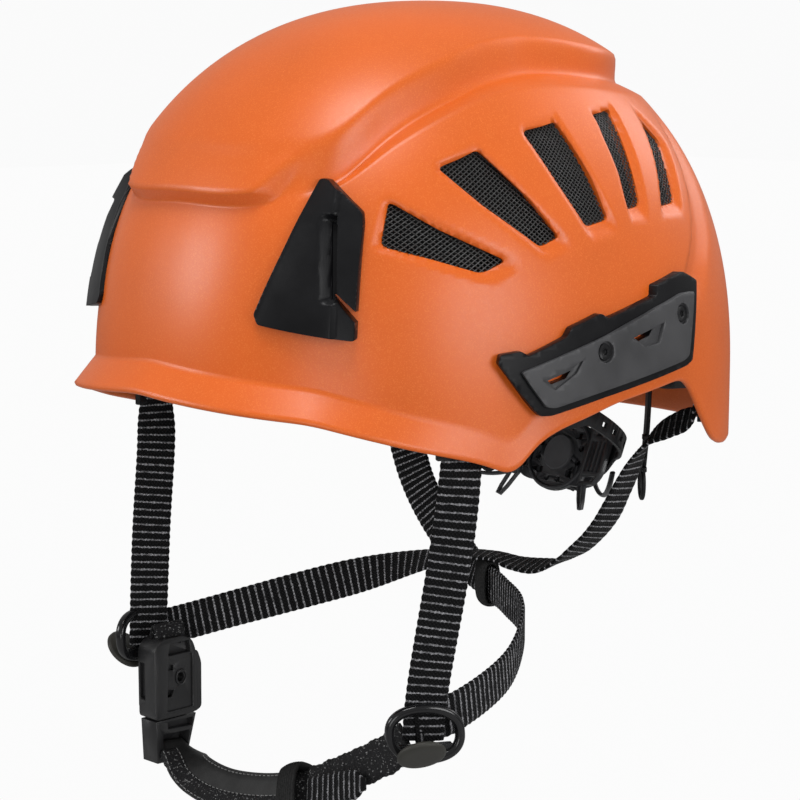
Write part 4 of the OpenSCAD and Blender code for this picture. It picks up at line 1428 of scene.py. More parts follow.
def buildSocket():
    m = buckleFrame
    body = plateMesh("buckleSocket", buckle["socket"], -5.2, 5.2, m, 2.2)
    wing = plateMesh("socketWing", buckle["wing"], -4.6, -0.6, m, 1.6)
    spine = plateMesh("socketSpine", buckle["spine"], 4.2, 7.2, m, 1.4)
    booleanWith(body, [wing, spine], "UNION")
    cuts = [
        plateMesh("facePanel", buckle["panel"], -7, -4.5, m, 0.8),
        plateMesh("barSlot", [(-3.8, 9.4), (8.0, 9.4), (7.2, 14.4), (-2.8, 14.6)], -8, -2.4, m, 0.6),
        plateMesh("slitHigh", [(-3.8, 3.4), (-0.6, 3.0), (-0.6, 5.2), (-2.6, 5.8)], -7, -2.8, m, 0.2),
        plateMesh("slitLow", [(-3.8, -7.8), (-1.8, -7.8), (-0.4, -5.2), (-3.8, -4.6)], -7, -2.8, m, 0.2),
        drumMesh("boreHole", 1.9, -8, 9, m, 3.0, -0.4, 28),
        boxMesh("gripWindow", (5.0, 5.0, 15.5), (-10.4, 3.6, -1.0), m),
        boxMesh("plugMouth", (18.6, 7.0, 12.0), (0, 0, -13.5), m),
    ]
    booleanWith(body, cuts, "DIFFERENCE")
    ring = loopMesh("holeRing", placed([(3.0 + 2.5 * math.cos(t), -4.7, -0.4 + 2.9 * math.sin(t))
                                        for t in np.linspace(0, 2 * math.pi, 33)[:-1]], m), 0.42, 0.55,
                    np.tile(m[:3, 1], (32, 1)), 8)
    softenEdges(body, 0.45, 2, 35)
    obj = joinObjects("buckleSocket", [body, ring])
    shadeSoft(obj)
    return finished(obj, "shell", "buckle_socket", buckleBlack, 0)


def buildPlug():
    m = buckleFrame
    top = placed([(-10.2, -4.8, -16.8), (10.4, -4.8, -16.8), (10.4, 4.8, -16.8), (-10.2, 4.8, -16.8)], m)
    low = placed([(-9.6, -4.6, -34.2), (5.4, -4.6, -34.8), (5.4, 4.6, -34.8), (-9.6, 4.6, -34.2)], m)
    body = prismBetween("bucklePlug", list(map(tuple, low)), list(map(tuple, top)))
    cuts = [plateMesh("plugSlot", buckle["plugSlot"], -8, -1.5, m, 0.4),
            plateMesh("plugPocket", buckle["plugPocket"], -8, 1.6, m, 0.8)]
    booleanWith(body, cuts, "DIFFERENCE")
    tongue = boxMesh("plugTongue", (5, 2.6, 9), (0, 0, -13.5), m)
    knob = drumMesh("plugKnob", 3.5, 4.4, 7.6, m, -3.0, -25.5, 28, 0.86)
    booleanWith(body, [tongue, knob], "UNION")
    return finished(body, "chin", "buckle_plug", buckleBlack, 0.45)


buildSocket()
buildPlug()
print("buckle built")


chin = {
    "route": [(-75.1, -73, -143), (-66, -74, -146.5), (-50, -78, -150), (-25, -81, -149.5), (8, -82, -142.5),
              (36, -80, -130), (58, -77, -118), (72.5, -75.3, -108)],
    "widths": [(-0.03, 1, 0), (0, 0.97, 0.15), (0.1, 0.7, 0.7), (0, 0.6, 0.8), (-0.1, 0.5, 0.86),
               (-0.3, 0.3, 0.9), (-0.3, 0.2, 0.9), (-0.1, 0, 1)],
    "sleeveTo": 0.6,
    "keeperAt": 0.615,
    "tail": (0.66, 0.83),
    "stitchPitch": 2.7,
    "stitchLength": 1.5,
    # width and thickness of each run of webbing
    "sleeveSize": (16.8, 3.6),
    "bandSize": (7.4, 4.7),
    "webSize": (14.6, 2.6),
    "tailSize": (11, 2.0),
    "loopSize": (15, 1.3),
    "loopRoute": [(-77.6, -73, -102), (-77.4, -73, -96), (-75.8, -73, -93.2), (-74.4, -73, -96),
                  (-74.2, -73, -102)],
    # half width, half thickness and length of the elastic keepers
    "keeperSize": (9.9, 5.7, 10),
    "napeSize": (9.3, 3.6, 11),
}


def makeSewn():
    # webbing sewn over and over: black with short bits of light thread
    paint = newMaterial("sewnWebbing", (0.010, 0.010, 0.011), 0.75, specular=0.3)
    grains = noise(paint, 900.0, 3.0, (1.0, 1.0, 1.7))
    bits = ramp(paint, grains, "Fac", [(0.60, (0.009, 0.009, 0.010)), (0.70, grey(0.30))])
    coarse = noise(paint, 330.0, 4.0)
    under = bump(paint, coarse, "Fac", 0.6, 0.001)
    return paintSurface(paint, bits, None, bump(paint, grains, "Fac", 0.8, 0.0006, under))


def makeLeather():
    # smooth sleeve cloth with small creases
    paint = newMaterial("sleeveLeather", (0.018, 0.018, 0.019), 0.5, specular=0.4)
    grain = addNode(paint, "TexVoronoi", scale=900.0)
    grain.feature = "DISTANCE_TO_EDGE"
    spot = addNode(paint, "TexCoord")
    join(paint, spot, "Object", grain, "Vector")
    cloud = noise(paint, 160.0, 4.0)
    tone = ramp(paint, cloud, "Fac", [(0.3, grey(0.013)), (0.7, grey(0.026))])
    return paintSurface(paint, tone, None, bump(paint, grain, "Distance", 0.35, 0.0002))


def makeElastic():
    paint = newMaterial("keeperElastic", (0.020, 0.020, 0.022), 0.8, specular=0.25)
    yarn = noise(paint, 1300.0, 2.0)
    tone = ramp(paint, yarn, "Fac", [(0.3, grey(0.014)), (0.7, grey(0.034))])
    return paintSurface(paint, tone, None, bump(paint, yarn, "Fac", 0.6, 0.0003))


sewnWebbing = makeSewn()
sleeveLeather = makeLeather()
keeperElastic = makeElastic()
threadPale = newMaterial("threadPale", (0.20, 0.20, 0.21), 0.6)
threadGrain = noise(threadPale, 2500.0, 2.0)
paintSurface(threadPale, ramp(threadPale, threadGrain, "Fac", [(0.3, grey(0.12)), (0.7, grey(0.34))]))


def roughWave(seed, size):
    # a small uneven wander of the webbing, the same on every run
    def wave(run):
        return np.stack([size * np.sin(run * 0.55 + seed), size * np.sin(run * 0.83 + seed * 2.1),
                         size * np.sin(run * 0.71 + seed * 0.7)], -1)
    return wave


def shiftedRoute(route, widths, start, stop, across, outward, count=14):
    # a route beside another one: moved across the webbing, and out of its face
    u = np.linspace(start, stop, count)
    centre = splinePoint(route, u)
    heading = unit(np.gradient(centre, axis=0))
    side = unit(splinePoint(widths, u))
    side = unit(side - heading * (side * heading).sum(-1, keepdims=True))
    face = np.cross(heading, side)
    return centre + side * across + face * outward, side


def elasticLoop(name, centre, ahead, across, halfWidth, halfThick, length, wall=1.1, ribPitch=1.15):
    # an elastic keeper: an oval loop with fine ribs round it
    ahead, across = unit(np.array(ahead, float)), unit(np.array(across, float))
    across = unit(across - ahead * (across * ahead).sum())
    face = np.cross(ahead, across)
    turn = np.linspace(0, 2 * math.pi, 49)[:-1]
    c = np.sign(np.cos(turn)) * np.abs(np.cos(turn)) ** 0.62
    s = np.sign(np.sin(turn)) * np.abs(np.sin(turn)) ** 0.62
    along = np.linspace(-length / 2, length / 2, int(length / 0.16) + 1)
    rings = []

    def addRing(k, grow):
        sideways = np.outer(c * (halfWidth + grow), across)
        outward = np.outer(s * (halfThick + grow), face)
        rings.append(centre + ahead * k + sideways + outward)

    for k in along:
        addRing(k, 0.55 * (1 - (2 * k / length) ** 2) + 0.24 * math.cos(2 * math.pi * k / ribPitch))
    for k in along[::-1][::6]:
        addRing(k, -wall)
    rows, sides = len(rings), len(turn)
    faces = []
    for i in range(rows):
        for j in range(sides):
            a, b = (i + 1) % rows, (j + 1) % sides
            faces.append((i * sides + j, a * sides + j, a * sides + b, i * sides + b))
    obj = meshObject(name, np.array(rings).reshape(-1, 3), faces)
    fixNormals(obj)
    return obj


def stitchTree():
    tree, start, end = geometryTree("stitch row", [
        ("Pitch", "NodeSocketFloat"), ("Stitch length", "NodeSocketFloat"),
        ("Thread radius", "NodeSocketFloat"), ("Finish", "NodeSocketMaterial")])
    n, link = tree.nodes, tree.links.new
    lines = n.new("GeometryNodeMeshToCurve")
    spread = n.new("GeometryNodeCurveToPoints")
    spread.mode = "LENGTH"
    thread = n.new("GeometryNodeMeshCylinder")
    thread.inputs["Vertices"].default_value = 6
    place = n.new("GeometryNodeInstanceOnPoints")
    link(start.outputs["Geometry"], lines.inputs["Mesh"])
    link(lines.outputs["Curve"], spread.inputs["Curve"])
    link(start.outputs["Pitch"], spread.inputs["Length"])
    link(start.outputs["Thread radius"], thread.inputs["Radius"])
    link(start.outputs["Stitch length"], thread.inputs["Depth"])
    link(spread.outputs["Points"], place.inputs["Points"])
    link(spread.outputs["Rotation"], place.inputs["Rotation"])
    link(thread.outputs["Mesh"], place.inputs["Instance"])
    closeTree(tree, start, end, place.outputs["Instances"])
    return tree


def stitchRows(name, rows, tree, body):
    points, edges = [], []
    for row in rows:
        first = len(points)
        points += [tuple(p) for p in row]
        edges += [(k, k + 1) for k in range(first, len(points) - 1)]
    data = bpy.data.meshes.new(name)
    data.from_pydata([tuple(c * mm for c in q) for q in points], edges, [])
    obj = bpy.data.objects.new(name, data)
    bpy.context.scene.collection.objects.link(obj)
    runTree(obj, tree, {"Pitch": chin["stitchPitch"] * mm, "Stitch length": chin["stitchLength"] * mm,
                        "Thread radius": 0.2 * mm, "Finish": threadPale})
    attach(obj, body)
    return obj


def narrowStart(run):
    # the sleeve is folded narrower where it goes into the plug
    return 1 - 0.30 * (1 - ease((run - 3) / 14))


sleeve = ribbonMesh("chinSleeve", chin["route"], chin["widths"], *chin["sleeveSize"], False, 0.0,
                    chin["sleeveTo"], edge=1.1, step=1.2, grow=narrowStart)
finished(sleeve, "chin", "chin_sleeve", sleeveLeather, 0)
bandRoute, bandSide = shiftedRoute(chin["route"], chin["widths"], 0.10, chin["sleeveTo"], -4.4, 0.0)
band = ribbonMesh("sleeveBand", bandRoute, bandSide, *chin["bandSize"], True, edge=0.8)
band.data.materials.append(sewnWebbing)
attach(band, "chin")
rows = []
for across, outward in ((-1.3, 2.36), (-7.3, 2.3), (-1.3, -2.36), (-7.3, -2.3), (6.9, 1.75), (6.9, -1.75)):
    begin = 0.24 if across > 0 else 0.12
    sleeveEnd = chin["sleeveTo"] - 0.01
    rows.append(shiftedRoute(chin["route"], chin["widths"], begin, sleeveEnd, across, outward, 60)[0])
stitches = stitchTree()
stitchRows("sleeveStitches", rows, stitches, "chin")
web = ribbonMesh("chinWebbing", chin["route"], chin["widths"], *chin["webSize"], True,
                 chin["sleeveTo"] - 0.03, 0.97, edge=0.6, wave=roughWave(0.4, 0.22))
finished(web, "chin", "chin_webbing", sewnWebbing, 0)


def pointedTail(run):
    return 1 - 0.55 * ease((run - run[-1] + 6) / 6)


tailRoute, tailSide = shiftedRoute(chin["route"], chin["widths"], chin["tail"][0], chin["tail"][1], -3.4, 3.4)
bend = np.linspace(0, 1, len(tailRoute))[:, None] ** 1.5
tailRoute = tailRoute + bend * np.array([1.5, -3.0, -4.0])
tail = ribbonMesh("webbingTail", tailRoute, tailSide, *chin["tailSize"], True, grow=pointedTail)
finished(tail, "chin", "webbing_tail", webbingBlack, 0)
keeperSpot = splinePoint(chin["route"], np.array([chin["keeperAt"]]))[0]
keeperAhead = splinePoint(chin["route"], np.array([chin["keeperAt"] + 0.02]))[0] - keeperSpot
keeperSide = splinePoint(chin["widths"], np.array([chin["keeperAt"]]))[0]
keeperSpot = keeperSpot + np.array([0, -1.3, 0])
loop = elasticLoop("tailKeeper", keeperSpot, keeperAhead, keeperSide, *chin["keeperSize"])
finished(loop, "keeper", "tail_keeper", keeperElastic, 0)
nape = elasticLoop("napeKeeper", np.array([0, 34, -80.0]), (0.891, -0.454, 0), (0, 0, 1), *chin["napeSize"])
finished(nape, "shell", "nape_keeper", keeperElastic, 0)
loopWeb = ribbonMesh("buckleLoop", chin["loopRoute"], [(0, 1, 0)] * 5, *chin["loopSize"])
finished(loopWeb, "shell", "buckle_loop", sewnWebbing, 0)
print("chin strap built")


cradleFrame = turnFrame((0, -12, 8), 0, -24)
adjuster = {
    "houseY": 97.4,
    "discRadius": 8.0,
    "holeRing": 11.7,
    "plateRadius": 17.4,
    "wheelRadius": 12.0,
    "wheelHalf": 4.5,
    "wheelRibs": 28,
    "ribRadius": 0.75,
    "ribHeight": 7.4,
    "armSlots": (24, 31, 38, 45, 52, 59),    # degrees round from the temple
    "sideFrame": [(-3.5, -13.0), (7.5, -12.0), (11.5, -7), (11.5, 6), (7, 12.4), (-3.5, 14)],
}
adjusterGrey = mouldedPlastic("adjusterGrey", (0.052, 0.053, 0.057), 0.36, specular=0.55)
discGrey = mouldedPlastic("discGrey", (0.110, 0.110, 0.116), 0.5, specular=0.4)


def buildHousing():
    m = shiftFrame(cradleFrame, y=adjuster["houseY"])
    plate = drumMesh("adjusterHousing", adjuster["plateRadius"], -0.8, 0.9, m, sides=56, squash=0.94)
    wings = plateMesh("housingWings", [(-22, -9.4), (-16, -13), (16, -13), (22, -9.4), (22, 9.4), (16, 12.5),
                                       (-16, 12.5), (-22, 9.4)], -0.8, 0.8, m, 3)
    booleanWith(plate, [wings], "UNION")
    cuts = []
    for k in range(12):
        a = math.radians(30 * k + 15)
        x, z = adjuster["holeRing"] * math.cos(a), adjuster["holeRing"] * math.sin(a)
        if k % 3 == 1:
            cuts.append(plateMesh("ringSlot", [(x - 1.6, z - 1.5), (x + 1.6, z - 1.5), (x + 1.6, z + 1.5),
                                               (x - 1.6, z + 1.5)], -3, 3, m, 0.4))
        else:
            cuts.append(drumMesh("ringHole", 1.45, -3, 3, m, x, z, 20))
    for x in (-20.3, -17.7, -15.1, 15.1, 17.7, 20.3):
        slot = [(x - 0.75, -8), (x + 0.75, -8), (x + 0.75, 8), (x - 0.75, 8)]
        cuts.append(plateMesh("wingSlot", slot, -3, 3, m, 0.4))
    booleanWith(plate, [joinObjects("housingCuts", cuts)], "DIFFERENCE")
    softenEdges(plate, 0.3)
    dome = drumMesh("housingDisc", adjuster["discRadius"], -0.6, -2.2, m, sides=48, top=0.95)
    softenEdges(dome, 0.5)
    rim = loopMesh("housingRim", placed([(16.4 * math.cos(t), -1.0, 15.4 * math.sin(t))
                                         for t in np.linspace(0, 2 * math.pi, 65)[:-1]], m), 0.7, 0.9,
                   np.tile(m[:3, 1], (64, 1)), 10)
    obj = joinObjects("adjusterHousing", [plate, rim])
    finished(obj, "cradle", "adjuster_housing", adjusterGrey, 0)
    shadeSoft(obj)
    finished(dome, "cradle", None, discGrey, 0)


def buildLoops(side):
    # the ribbed frame beside the housing, where the band leaves it
    turn = turnFrame((20.5 * side, adjuster["houseY"] - 3.6, 0), -14 * side)
    m = cradleFrame @ turn

    def flip(outline):
        return [(x * side, z) for x, z in outline]

    plate = plateMesh("sideFrame", flip(adjuster["sideFrame"]), -0.9, 0.9, m, 1.2)
    cuts = [plateMesh("frameTop", flip([(-1.6, 9.2), (7.6, 8.2), (6.4, 10.8), (-1.6, 12.2)]), -3, 3, m, 0.4),
            plateMesh("frameLow", flip([(-1.6, -11.2), (7, -10.4), (8.2, -8.4), (-1.6, -8.6)]),
                      -3, 3, m, 0.4)]
    for k in range(4):
        x = -0.9 + 2.9 * k
        slot = [(x - 0.85, -6.6), (x + 0.85, -6.6), (x + 0.85, 6.6), (x - 0.85, 6.6)]
        cuts.append(plateMesh("frameSlot", flip(slot), -3, 3, m, 0.4))
    booleanWith(plate, [joinObjects("frameCuts", cuts)], "DIFFERENCE")
    softenEdges(plate, 0.35)
    vee = [(-2.8 * side, 0, -12.0), (0.2 * side, 0, -18.6), (2.6 * side, 0, -22.6), (3.9 * side, 0, -22.4),
           (3.2 * side, 0, -19.0), (0.8 * side, 0, -11.6)]
    bar = loopMesh("hangerVee", placed(vee, m), 0.8, 1.0, np.tile(m[:3, 1], (6, 1)), 10, closed=False)
    # the lower edge of the arm is a thin bar that runs back towards the temple
    strip = []
    for f in np.linspace(107, 134, 16):
        a = math.radians(f)
        sag = 7.2 * math.sin((f - 107) / 27 * math.pi) ** 0.7
        strip.append((75.2 * math.cos(a) * -side, 102.6 * math.sin(a), -8.6 - sag))
    strip = placed(strip, cradleFrame)
    under = loopMesh("armBar", strip, 0.8, 1.1, np.tile(cradleFrame[:3, 1], (16, 1)), 10, closed=False)
    obj = joinObjects("sideFrame" + ("Left" if side > 0 else "Right"), [plate, bar, under])
    shadeSoft(obj)
    finished(obj, "cradle", None, adjusterGrey, 0)


def ribTree():
    tree, start, end = geometryTree("wheel ribs", [
        ("Rib count", "NodeSocketInt"), ("Ring radius", "NodeSocketFloat"), ("Rib radius", "NodeSocketFloat"),
        ("Rib height", "NodeSocketFloat"), ("Finish", "NodeSocketMaterial")])
    n, link = tree.nodes, tree.links.new
    ring = n.new("GeometryNodeMeshCircle")
    rib = n.new("GeometryNodeMeshCylinder")
    rib.inputs["Vertices"].default_value = 10
    place = n.new("GeometryNodeInstanceOnPoints")
    both = n.new("GeometryNodeJoinGeometry")
    link(start.outputs["Rib count"], ring.inputs["Vertices"])
    link(start.outputs["Ring radius"], ring.inputs["Radius"])
    link(start.outputs["Rib radius"], rib.inputs["Radius"])
    link(start.outputs["Rib height"], rib.inputs["Depth"])
    link(ring.outputs["Mesh"], place.inputs["Points"])
    link(rib.outputs["Mesh"], place.inputs["Instance"])
    link(start.outputs["Geometry"], both.inputs["Geometry"])
    link(place.outputs["Instances"], both.inputs["Geometry"])
    closeTree(tree, start, end, both.outputs["Geometry"])
    return tree


def buildWheel():
    # built flat about z, ribbed by the tree, then stood on its axle
    half = adjuster["wheelHalf"]
    flat = cylinderMesh("adjusterWheel", adjuster["wheelRadius"], -half, half, 64)
    booleanWith(flat, [cylinderMesh("wheelDish", 8.6, 3.2, 9, 48), cylinderMesh("wheelBore", 2.1, -9, 9, 24)],
                "DIFFERENCE")
    softenEdges(flat, 0.7, 3)
    runTree(flat, ribTree(), {
        "Rib count": adjuster["wheelRibs"],
        "Ring radius": 12.1 * mm,
        "Rib radius": adjuster["ribRadius"] * mm,
        "Rib height": adjuster["ribHeight"] * mm,
        "Finish": blackPlastic,
    })
    # z of the flat wheel becomes y of the cradle
    m = shiftFrame(cradleFrame, y=adjuster["houseY"] + 6 + half)
    stand = np.eye(4)
    stand[:3, :3] = [[1, 0, 0], [0, 0, 1], [0, -1, 0]]
    full = m @ stand
    full[:3, 3] *= mm
    flat.data.transform(Matrix(full.tolist()))
    finished(flat, "wheel", "adjuster_wheel", blackPlastic, 0)
    shadeSoft(flat)


def bandFaces(n):
    # four long faces and two ends over four rows of n points
    faces = []
    for i in range(4):
        for j in range(n - 1):
            k = (i + 1) % 4
            faces.append((i * n + j, i * n + j + 1, k * n + j + 1, k * n + j))
    faces.append(tuple(i * n for i in range(4)))
    faces.append(tuple(i * n + n - 1 for i in (3, 2, 1, 0)))
    return faces


def buildArm(side, node):
    # a curved band from the temple to the adjuster, slim in the middle, with adjusting slots
    turn = np.linspace(-3, 73, 90)
    f = np.radians(turn)
    low = -6.0 + 5.8 * ease((turn - 8) / 10) * ease((70 - turn) / 9)
    rows = []
    high = np.full(len(turn), 6.6)
    for depth, edge in ((0.1, low), (0.1, high), (1.5, high), (1.5, low)):
        rows.append([((76.6 - depth) * math.cos(a) * side, (104 - depth) * math.sin(a), z)
                     for a, z in zip(f, edge)])
    points = placed([p for ring in rows for p in ring], cradleFrame)
    arm = meshObject("cradleArm", points, bandFaces(len(turn)), smooth=False)
    fixNormals(arm)
    cuts = []
    for a in adjuster["armSlots"]:
        b = math.radians(a)
        spot = (76 * math.cos(b) * side, 103.4 * math.sin(b), 3.5)
        m = cradleFrame @ turnFrame(spot, (90 + a * 0.86) * side)
        cuts.append(boxMesh("armSlot", (4.6, 9, 2.2), (0, 0, 0), m))
    pivot = cradleFrame @ turnFrame((75.9 * side, 0, 0), 90, 90)
    cuts.append(cylinderMesh("pivotHole", 2.55, -6, 6, 28, pivot))
    booleanWith(arm, cuts, "DIFFERENCE")
    arm.name = "cradleArm" + ("Left" if side > 0 else "Right")
    finished(arm, "cradle", node, blackPlastic, 0.3)


buildHousing()
for side, node in ((1, "cradle_arm_left"), (-1, "cradle_arm_right")):
    buildLoops(side)
    buildArm(side, node)
buildWheel()


hanger = {
    "route": [(46, 79, 26), (46, 80, 6), (45.6, 79.6, -14), (44.6, 78.4, -34)],
    "width": 7.2,
    "thick": 1.5,
    "loop": (4.0, 6.0),
    "teeth": 4,
    "toothPitch": 4.4,
}


def buildHanger(side, node):
    # a springy strip with a toothed bar and an end loop
    route = [(x * side, y, z) for x, y, z in hanger["route"]]
    widths = [(0.8 * side, -0.6, 0)] * 4
    strip = ribbonMesh("hanger", route, widths, hanger["width"], hanger["thick"], False, step=1.5)
    softenEdges(strip, 0.3)
    m = turnFrame((44.4 * side, 78.2, -38.6), -37 * side)
    wide, tall = hanger["loop"]
    oval = [(wide * math.cos(t), 0.0, tall * math.sin(t)) for t in np.linspace(0, 2 * math.pi, 33)[:-1]]
    loopEnd = loopMesh("hangerLoop", placed(oval, m), 1.1, 0.9, np.tile(m[:3, 1], (32, 1)), 10)
    parts = [strip, loopEnd]
    for k in range(hanger["teeth"]):
        tooth = boxMesh("hangerTooth", (2.6, 1.8, 2.2), (4.6 * side, 0, 6.6 + hanger["toothPitch"] * k), m)
        softenEdges(tooth, 0.3)
        parts.append(tooth)
    obj = joinObjects("hanger" + ("Left" if side > 0 else "Right"), parts)
    finished(obj, "cradle", node, blackPlastic, 0)
    shadeSoft(obj)


buildHanger(1, "hanger_left")
buildHanger(-1, "hanger_right")
print("adjuster built")


pads = {
    "fill": 0.55,
    "pressure": 3.0,
    "cap": 1.1,
    "bandLow": 5.0,
    "bandHigh": 14.6,
}


def bandSpot(a, depth):
    # a place on the headband: a slightly squared oval
    x = (78 - depth) * math.copysign(abs(math.sin(a)) ** 0.833, a)
    return x, -(101 - depth) * abs(math.cos(a)) ** 0.833


def buildHeadband():
    # a thin band with a row of slots, its upper edge waved
    turn = np.radians(np.linspace(-76, 76, 105))
    rows = []
    for depth, low in ((0.0, True), (0.0, False), (1.6, False), (1.6, True)):
        ring = []
        for a in turn:
            x, y = bandSpot(a, depth)
            foot = pads["bandLow"] + 1.4 * math.cos(a)
            crest = pads["bandHigh"] - 1.4 * (0.5 - 0.5 * math.cos(a * 9))
            ring.append((x, y, foot if low else crest))
        rows.append(ring)
    points = [p for ring in rows for p in ring]
    obj = meshObject("headband", points, bandFaces(len(turn)), smooth=False)
    fixNormals(obj)
    cuts = []
    for a in (-66, -52, 52, 66):
        b = math.radians(a)
        m = turnFrame((*bandSpot(b, 0.8), 9.8), a)
        cuts.append(boxMesh("bandSlot", (9, 8, 2.4), (0, 0, 0), m))
    booleanWith(obj, cuts, "DIFFERENCE")
    finished(obj, "shell", "headband_front", blackPlastic, 0.4)


def makePadCloth():
    # knitted face cloth with small cells
    paint = newMaterial("padCloth", (0.022, 0.022, 0.024), 0.9, specular=0.2)
    paint.node_tree.nodes["Principled BSDF"].inputs["Sheen Weight"].default_value = 0.2
    cells = addNode(paint, "TexVoronoi", scale=520.0)
    spot = addNode(paint, "TexCoord")
    join(paint, spot, "Object", cells, "Vector")
    tone = ramp(paint, cells, "Distance", [(0.1, grey(0.034)), (0.6, grey(0.012))])
    return paintSurface(paint, tone, None, bump(paint, cells, "Distance", 0.6, 0.0006))


padCloth = makePadCloth()


def softPad(name, points, faces, node, voxel=2.4):
    # swollen by cloth pressure, and held to a small change so that it keeps clear of its neighbours
    obj = meshObject(name, points, faces)
    fixNormals(obj)
    shape = obj.modifiers.new("remesh", "REMESH")
    shape.mode = "VOXEL"
    shape.voxel_size = voxel * mm
    applyModifiers(obj)
    before = np.empty(len(obj.data.vertices) * 3)
    obj.data.vertices.foreach_get("co", before)
    cloth = obj.modifiers.new("fill", "CLOTH")
    cloth.settings.use_pressure = True
    cloth.settings.uniform_pressure_force = pads["pressure"]
    cloth.settings.effector_weights.gravity = 0
    cloth.settings.quality = 4
    cloth.settings.tension_stiffness = 8
    cloth.point_cache.frame_start = 1
    cloth.point_cache.frame_end = 20
    for step in range(1, 21):
        bpy.context.scene.frame_set(step)
    applyModifiers(obj)
    bpy.context.scene.frame_set(1)
    after = np.empty(len(before))
    obj.data.vertices.foreach_get("co", after)
    a, b = before.reshape(-1, 3), after.reshape(-1, 3)
    move = b - a
    size = np.linalg.norm(move, axis=1, keepdims=True)
    move *= np.minimum(1, pads["cap"] * mm / np.maximum(size, 1e-9))
    obj.data.vertices.foreach_set("co", (a + move).ravel())
    smooth = obj.modifiers.new("even", "SMOOTH")
    smooth.factor = 0.5
    smooth.iterations = 3
    finer = obj.modifiers.new("finer", "SUBSURF")
    finer.levels = 1
    finer.render_levels = 1
    applyModifiers(obj)
    obj.data.polygons.foreach_set("use_smooth", [True] * len(obj.data.polygons))
    finished(obj, "shell", node, padCloth, 0)
    return obj


def curvedPad(rowsIn, rowsOut):
    # closes two matching grids of points into one pad
    rows, cols = len(rowsIn), len(rowsIn[0])
    points = [p for row in rowsIn for p in row] + [p for row in rowsOut for p in row]
    total = rows * cols
    faces = []
    for i in range(rows - 1):
        for j in range(cols - 1):
            a = i * cols + j
            faces.append((a, a + 1, a + cols + 1, a + cols))
            faces.append((total + a, total + a + cols, total + a + cols + 1, total + a + 1))
    edge = list(range(cols)) + [i * cols + cols - 1 for i in range(1, rows)]
    edge += [(rows - 1) * cols + j for j in range(cols - 2, -1, -1)]
    edge += [i * cols for i in range(rows - 2, 0, -1)]
    for k in range(len(edge)):
        a, b = edge[k], edge[(k + 1) % len(edge)]
        faces.append((a, total + a, total + b, b))
    return points, faces


def buildForehead():
    turn = np.radians(np.linspace(-50, 50, 61))
    rowsIn, rowsOut = [], []
    for v in np.linspace(0, 1, 9):
        crown = math.sin(math.pi * v) ** 0.5
        inner, outer = [], []
        for a in turn:
            end = min(1.0, (math.radians(50) - abs(a)) / 0.10) ** 0.5
            z = 6.9 + 9.6 * v
            deep = 2.9 + 1.5 * crown * (0.4 + 0.6 * end)
            inner.append((*bandSpot(a, deep), z))
            outer.append((*bandSpot(a, 2.3), z))
        rowsIn.append(inner)
        rowsOut.append(outer)
    return curvedPad(rowsIn, rowsOut)


def buildCrownPad():
    # a cross-shaped pad under the crown, drawn as a ring of cushions about the middle
    rowsIn, rowsOut = [], []
    for v in np.linspace(0, 1, 21):
        inner, outer = [], []
        for az in np.radians(np.linspace(0, 360, 73)[:-1]):
            lobe = 0.5 + 0.5 * math.cos(4 * az)
            e = 62.5 + (88 - 62.5) * v + 3.0 * (1 - lobe) * (1 - v)
            puff = math.sin(math.pi * min(max(v, 0.02), 0.98)) ** 0.5
            p = domePoint(np.array(math.degrees(az)), np.array(e), 24.2)
            q = domePoint(np.array(math.degrees(az)), np.array(e), 26.4 + 2.0 * puff)
            outer.append(tuple(p))
            inner.append(tuple(q))
        rowsIn.append(inner)
        rowsOut.append(outer)
    cols = len(rowsIn[0])
    rows = len(rowsIn)
    points = [p for row in rowsIn for p in row] + [p for row in rowsOut for p in row]
    total = rows * cols
    faces = []
    for i in range(rows - 1):
        for j in range(cols):
            k = (j + 1) % cols
            a, b = i * cols + j, i * cols + k
            faces.append((a, b, b + cols, a + cols))
            faces.append((total + a, total + a + cols, total + b + cols, total + b))
    for row in (0, rows - 1):
        for j in range(cols):
            k = (j + 1) % cols
            a, b = row * cols + j, row * cols + k
            faces.append((a, total + a, total + b, b) if row == 0 else (a, b, total + b, total + a))
    return points, faces


buildHeadband()
softPad("foreheadPad", *buildForehead(), "forehead_pad", 1.5)
softPad("crownPad", *buildCrownPad(), "crown_pad", 2.0)
print("pads built")


screw = {
    "headRadius": 3.1,
    "headHeight": 2.2,
    "keyRadius": 1.3,
    "keyDepth": 3.0,
    "keyRise": 1.6,
}


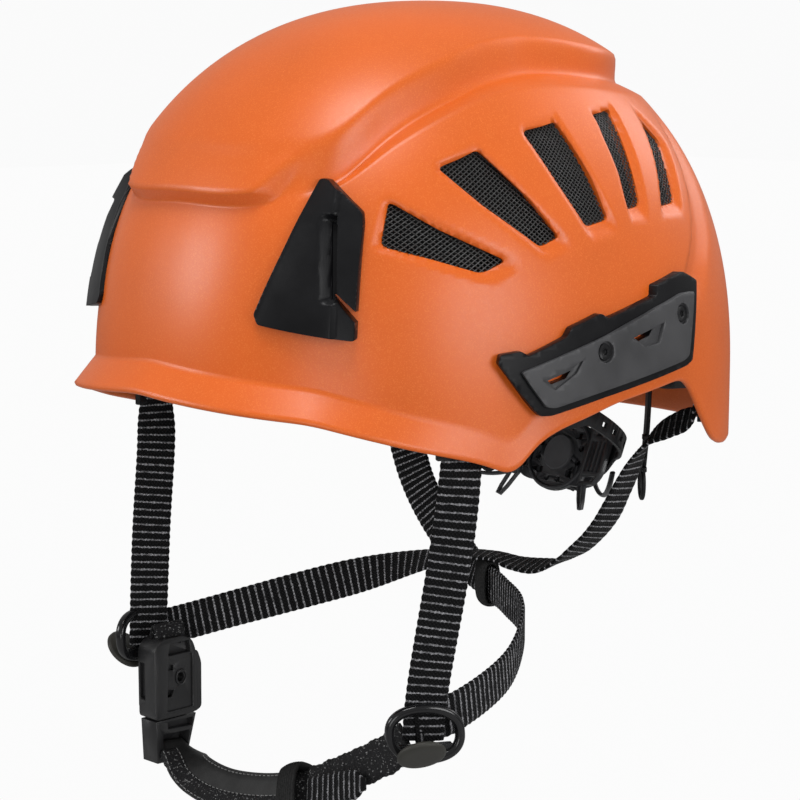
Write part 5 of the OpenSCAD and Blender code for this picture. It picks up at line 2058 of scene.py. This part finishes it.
def screwTree():
    tree, start, end = geometryTree("adapter screws", [
        ("Head radius", "NodeSocketFloat"), ("Head height", "NodeSocketFloat"),
        ("Finish", "NodeSocketMaterial")])
    n, link = tree.nodes, tree.links.new
    place = n.new("GeometryNodeInstanceOnPoints")
    turn = n.new("FunctionNodeAlignRotationToVector")
    facing = n.new("GeometryNodeInputNormal")
    head = n.new("GeometryNodeMeshCylinder")
    head.inputs["Vertices"].default_value = 32
    collar = n.new("GeometryNodeMeshCylinder")
    collar.inputs["Vertices"].default_value = 6
    hex6 = n.new("GeometryNodeMeshBoolean")
    move = n.new("GeometryNodeTransform")
    move.inputs["Translation"].default_value = (0, 0, screw["keyRise"] * mm)
    collar.inputs["Radius"].default_value = screw["keyRadius"] * mm
    collar.inputs["Depth"].default_value = screw["keyDepth"] * mm
    link(start.outputs["Head radius"], head.inputs["Radius"])
    link(start.outputs["Head height"], head.inputs["Depth"])
    link(head.outputs["Mesh"], hex6.inputs["Mesh 1"])
    link(collar.outputs["Mesh"], move.inputs["Geometry"])
    link(move.outputs["Geometry"], hex6.inputs["Mesh 2"])
    turn.axis = "Z"
    faces = n.new("GeometryNodeMeshToPoints")
    faces.mode = "FACES"
    catch = n.new("GeometryNodeCaptureAttribute")
    catch.domain = "FACE"
    catch.capture_items.new("VECTOR", "facing")
    link(start.outputs["Geometry"], catch.inputs["Geometry"])
    link(facing.outputs["Normal"], catch.inputs["facing"])
    link(catch.outputs["Geometry"], faces.inputs["Mesh"])
    link(catch.outputs["facing"], turn.inputs["Vector"])
    link(faces.outputs["Points"], place.inputs["Points"])
    link(hex6.outputs["Mesh"], place.inputs["Instance"])
    link(turn.outputs["Rotation"], place.inputs["Rotation"])
    closeTree(tree, start, end, place.outputs["Instances"])
    return tree


def buildScrews():
    # one small facet at each screw marks its place and direction for the tree
    points, faces = [], []
    for side in (1, -1):
        for angle, z in adapter["screws"]:
            m = surfaceFrame(angle, z, 0, side)
            start = len(points)
            corners = [(-0.5, -0.5, 3.4), (0.5, -0.5, 3.4), (0.5, 0.5, 3.4), (-0.5, 0.5, 3.4)]
            if side < 0:
                corners = corners[::-1]
            points += [tuple(p) for p in placed(corners, m)]
            faces.append(tuple(range(start, start + 4)))
    obj = meshObject("adapterScrews", points, faces, smooth=False)
    runTree(obj, screwTree(), {
        "Head radius": screw["headRadius"] * mm,
        "Head height": screw["headHeight"] * mm,
        "Finish": blackSteel,
    })
    softenEdges(obj, 0.3, 2, 50)
    setFinish(obj, blackSteel)
    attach(obj, "shell")
    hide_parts("adapter_screws")
    return obj


buildScrews()
print("screws placed")
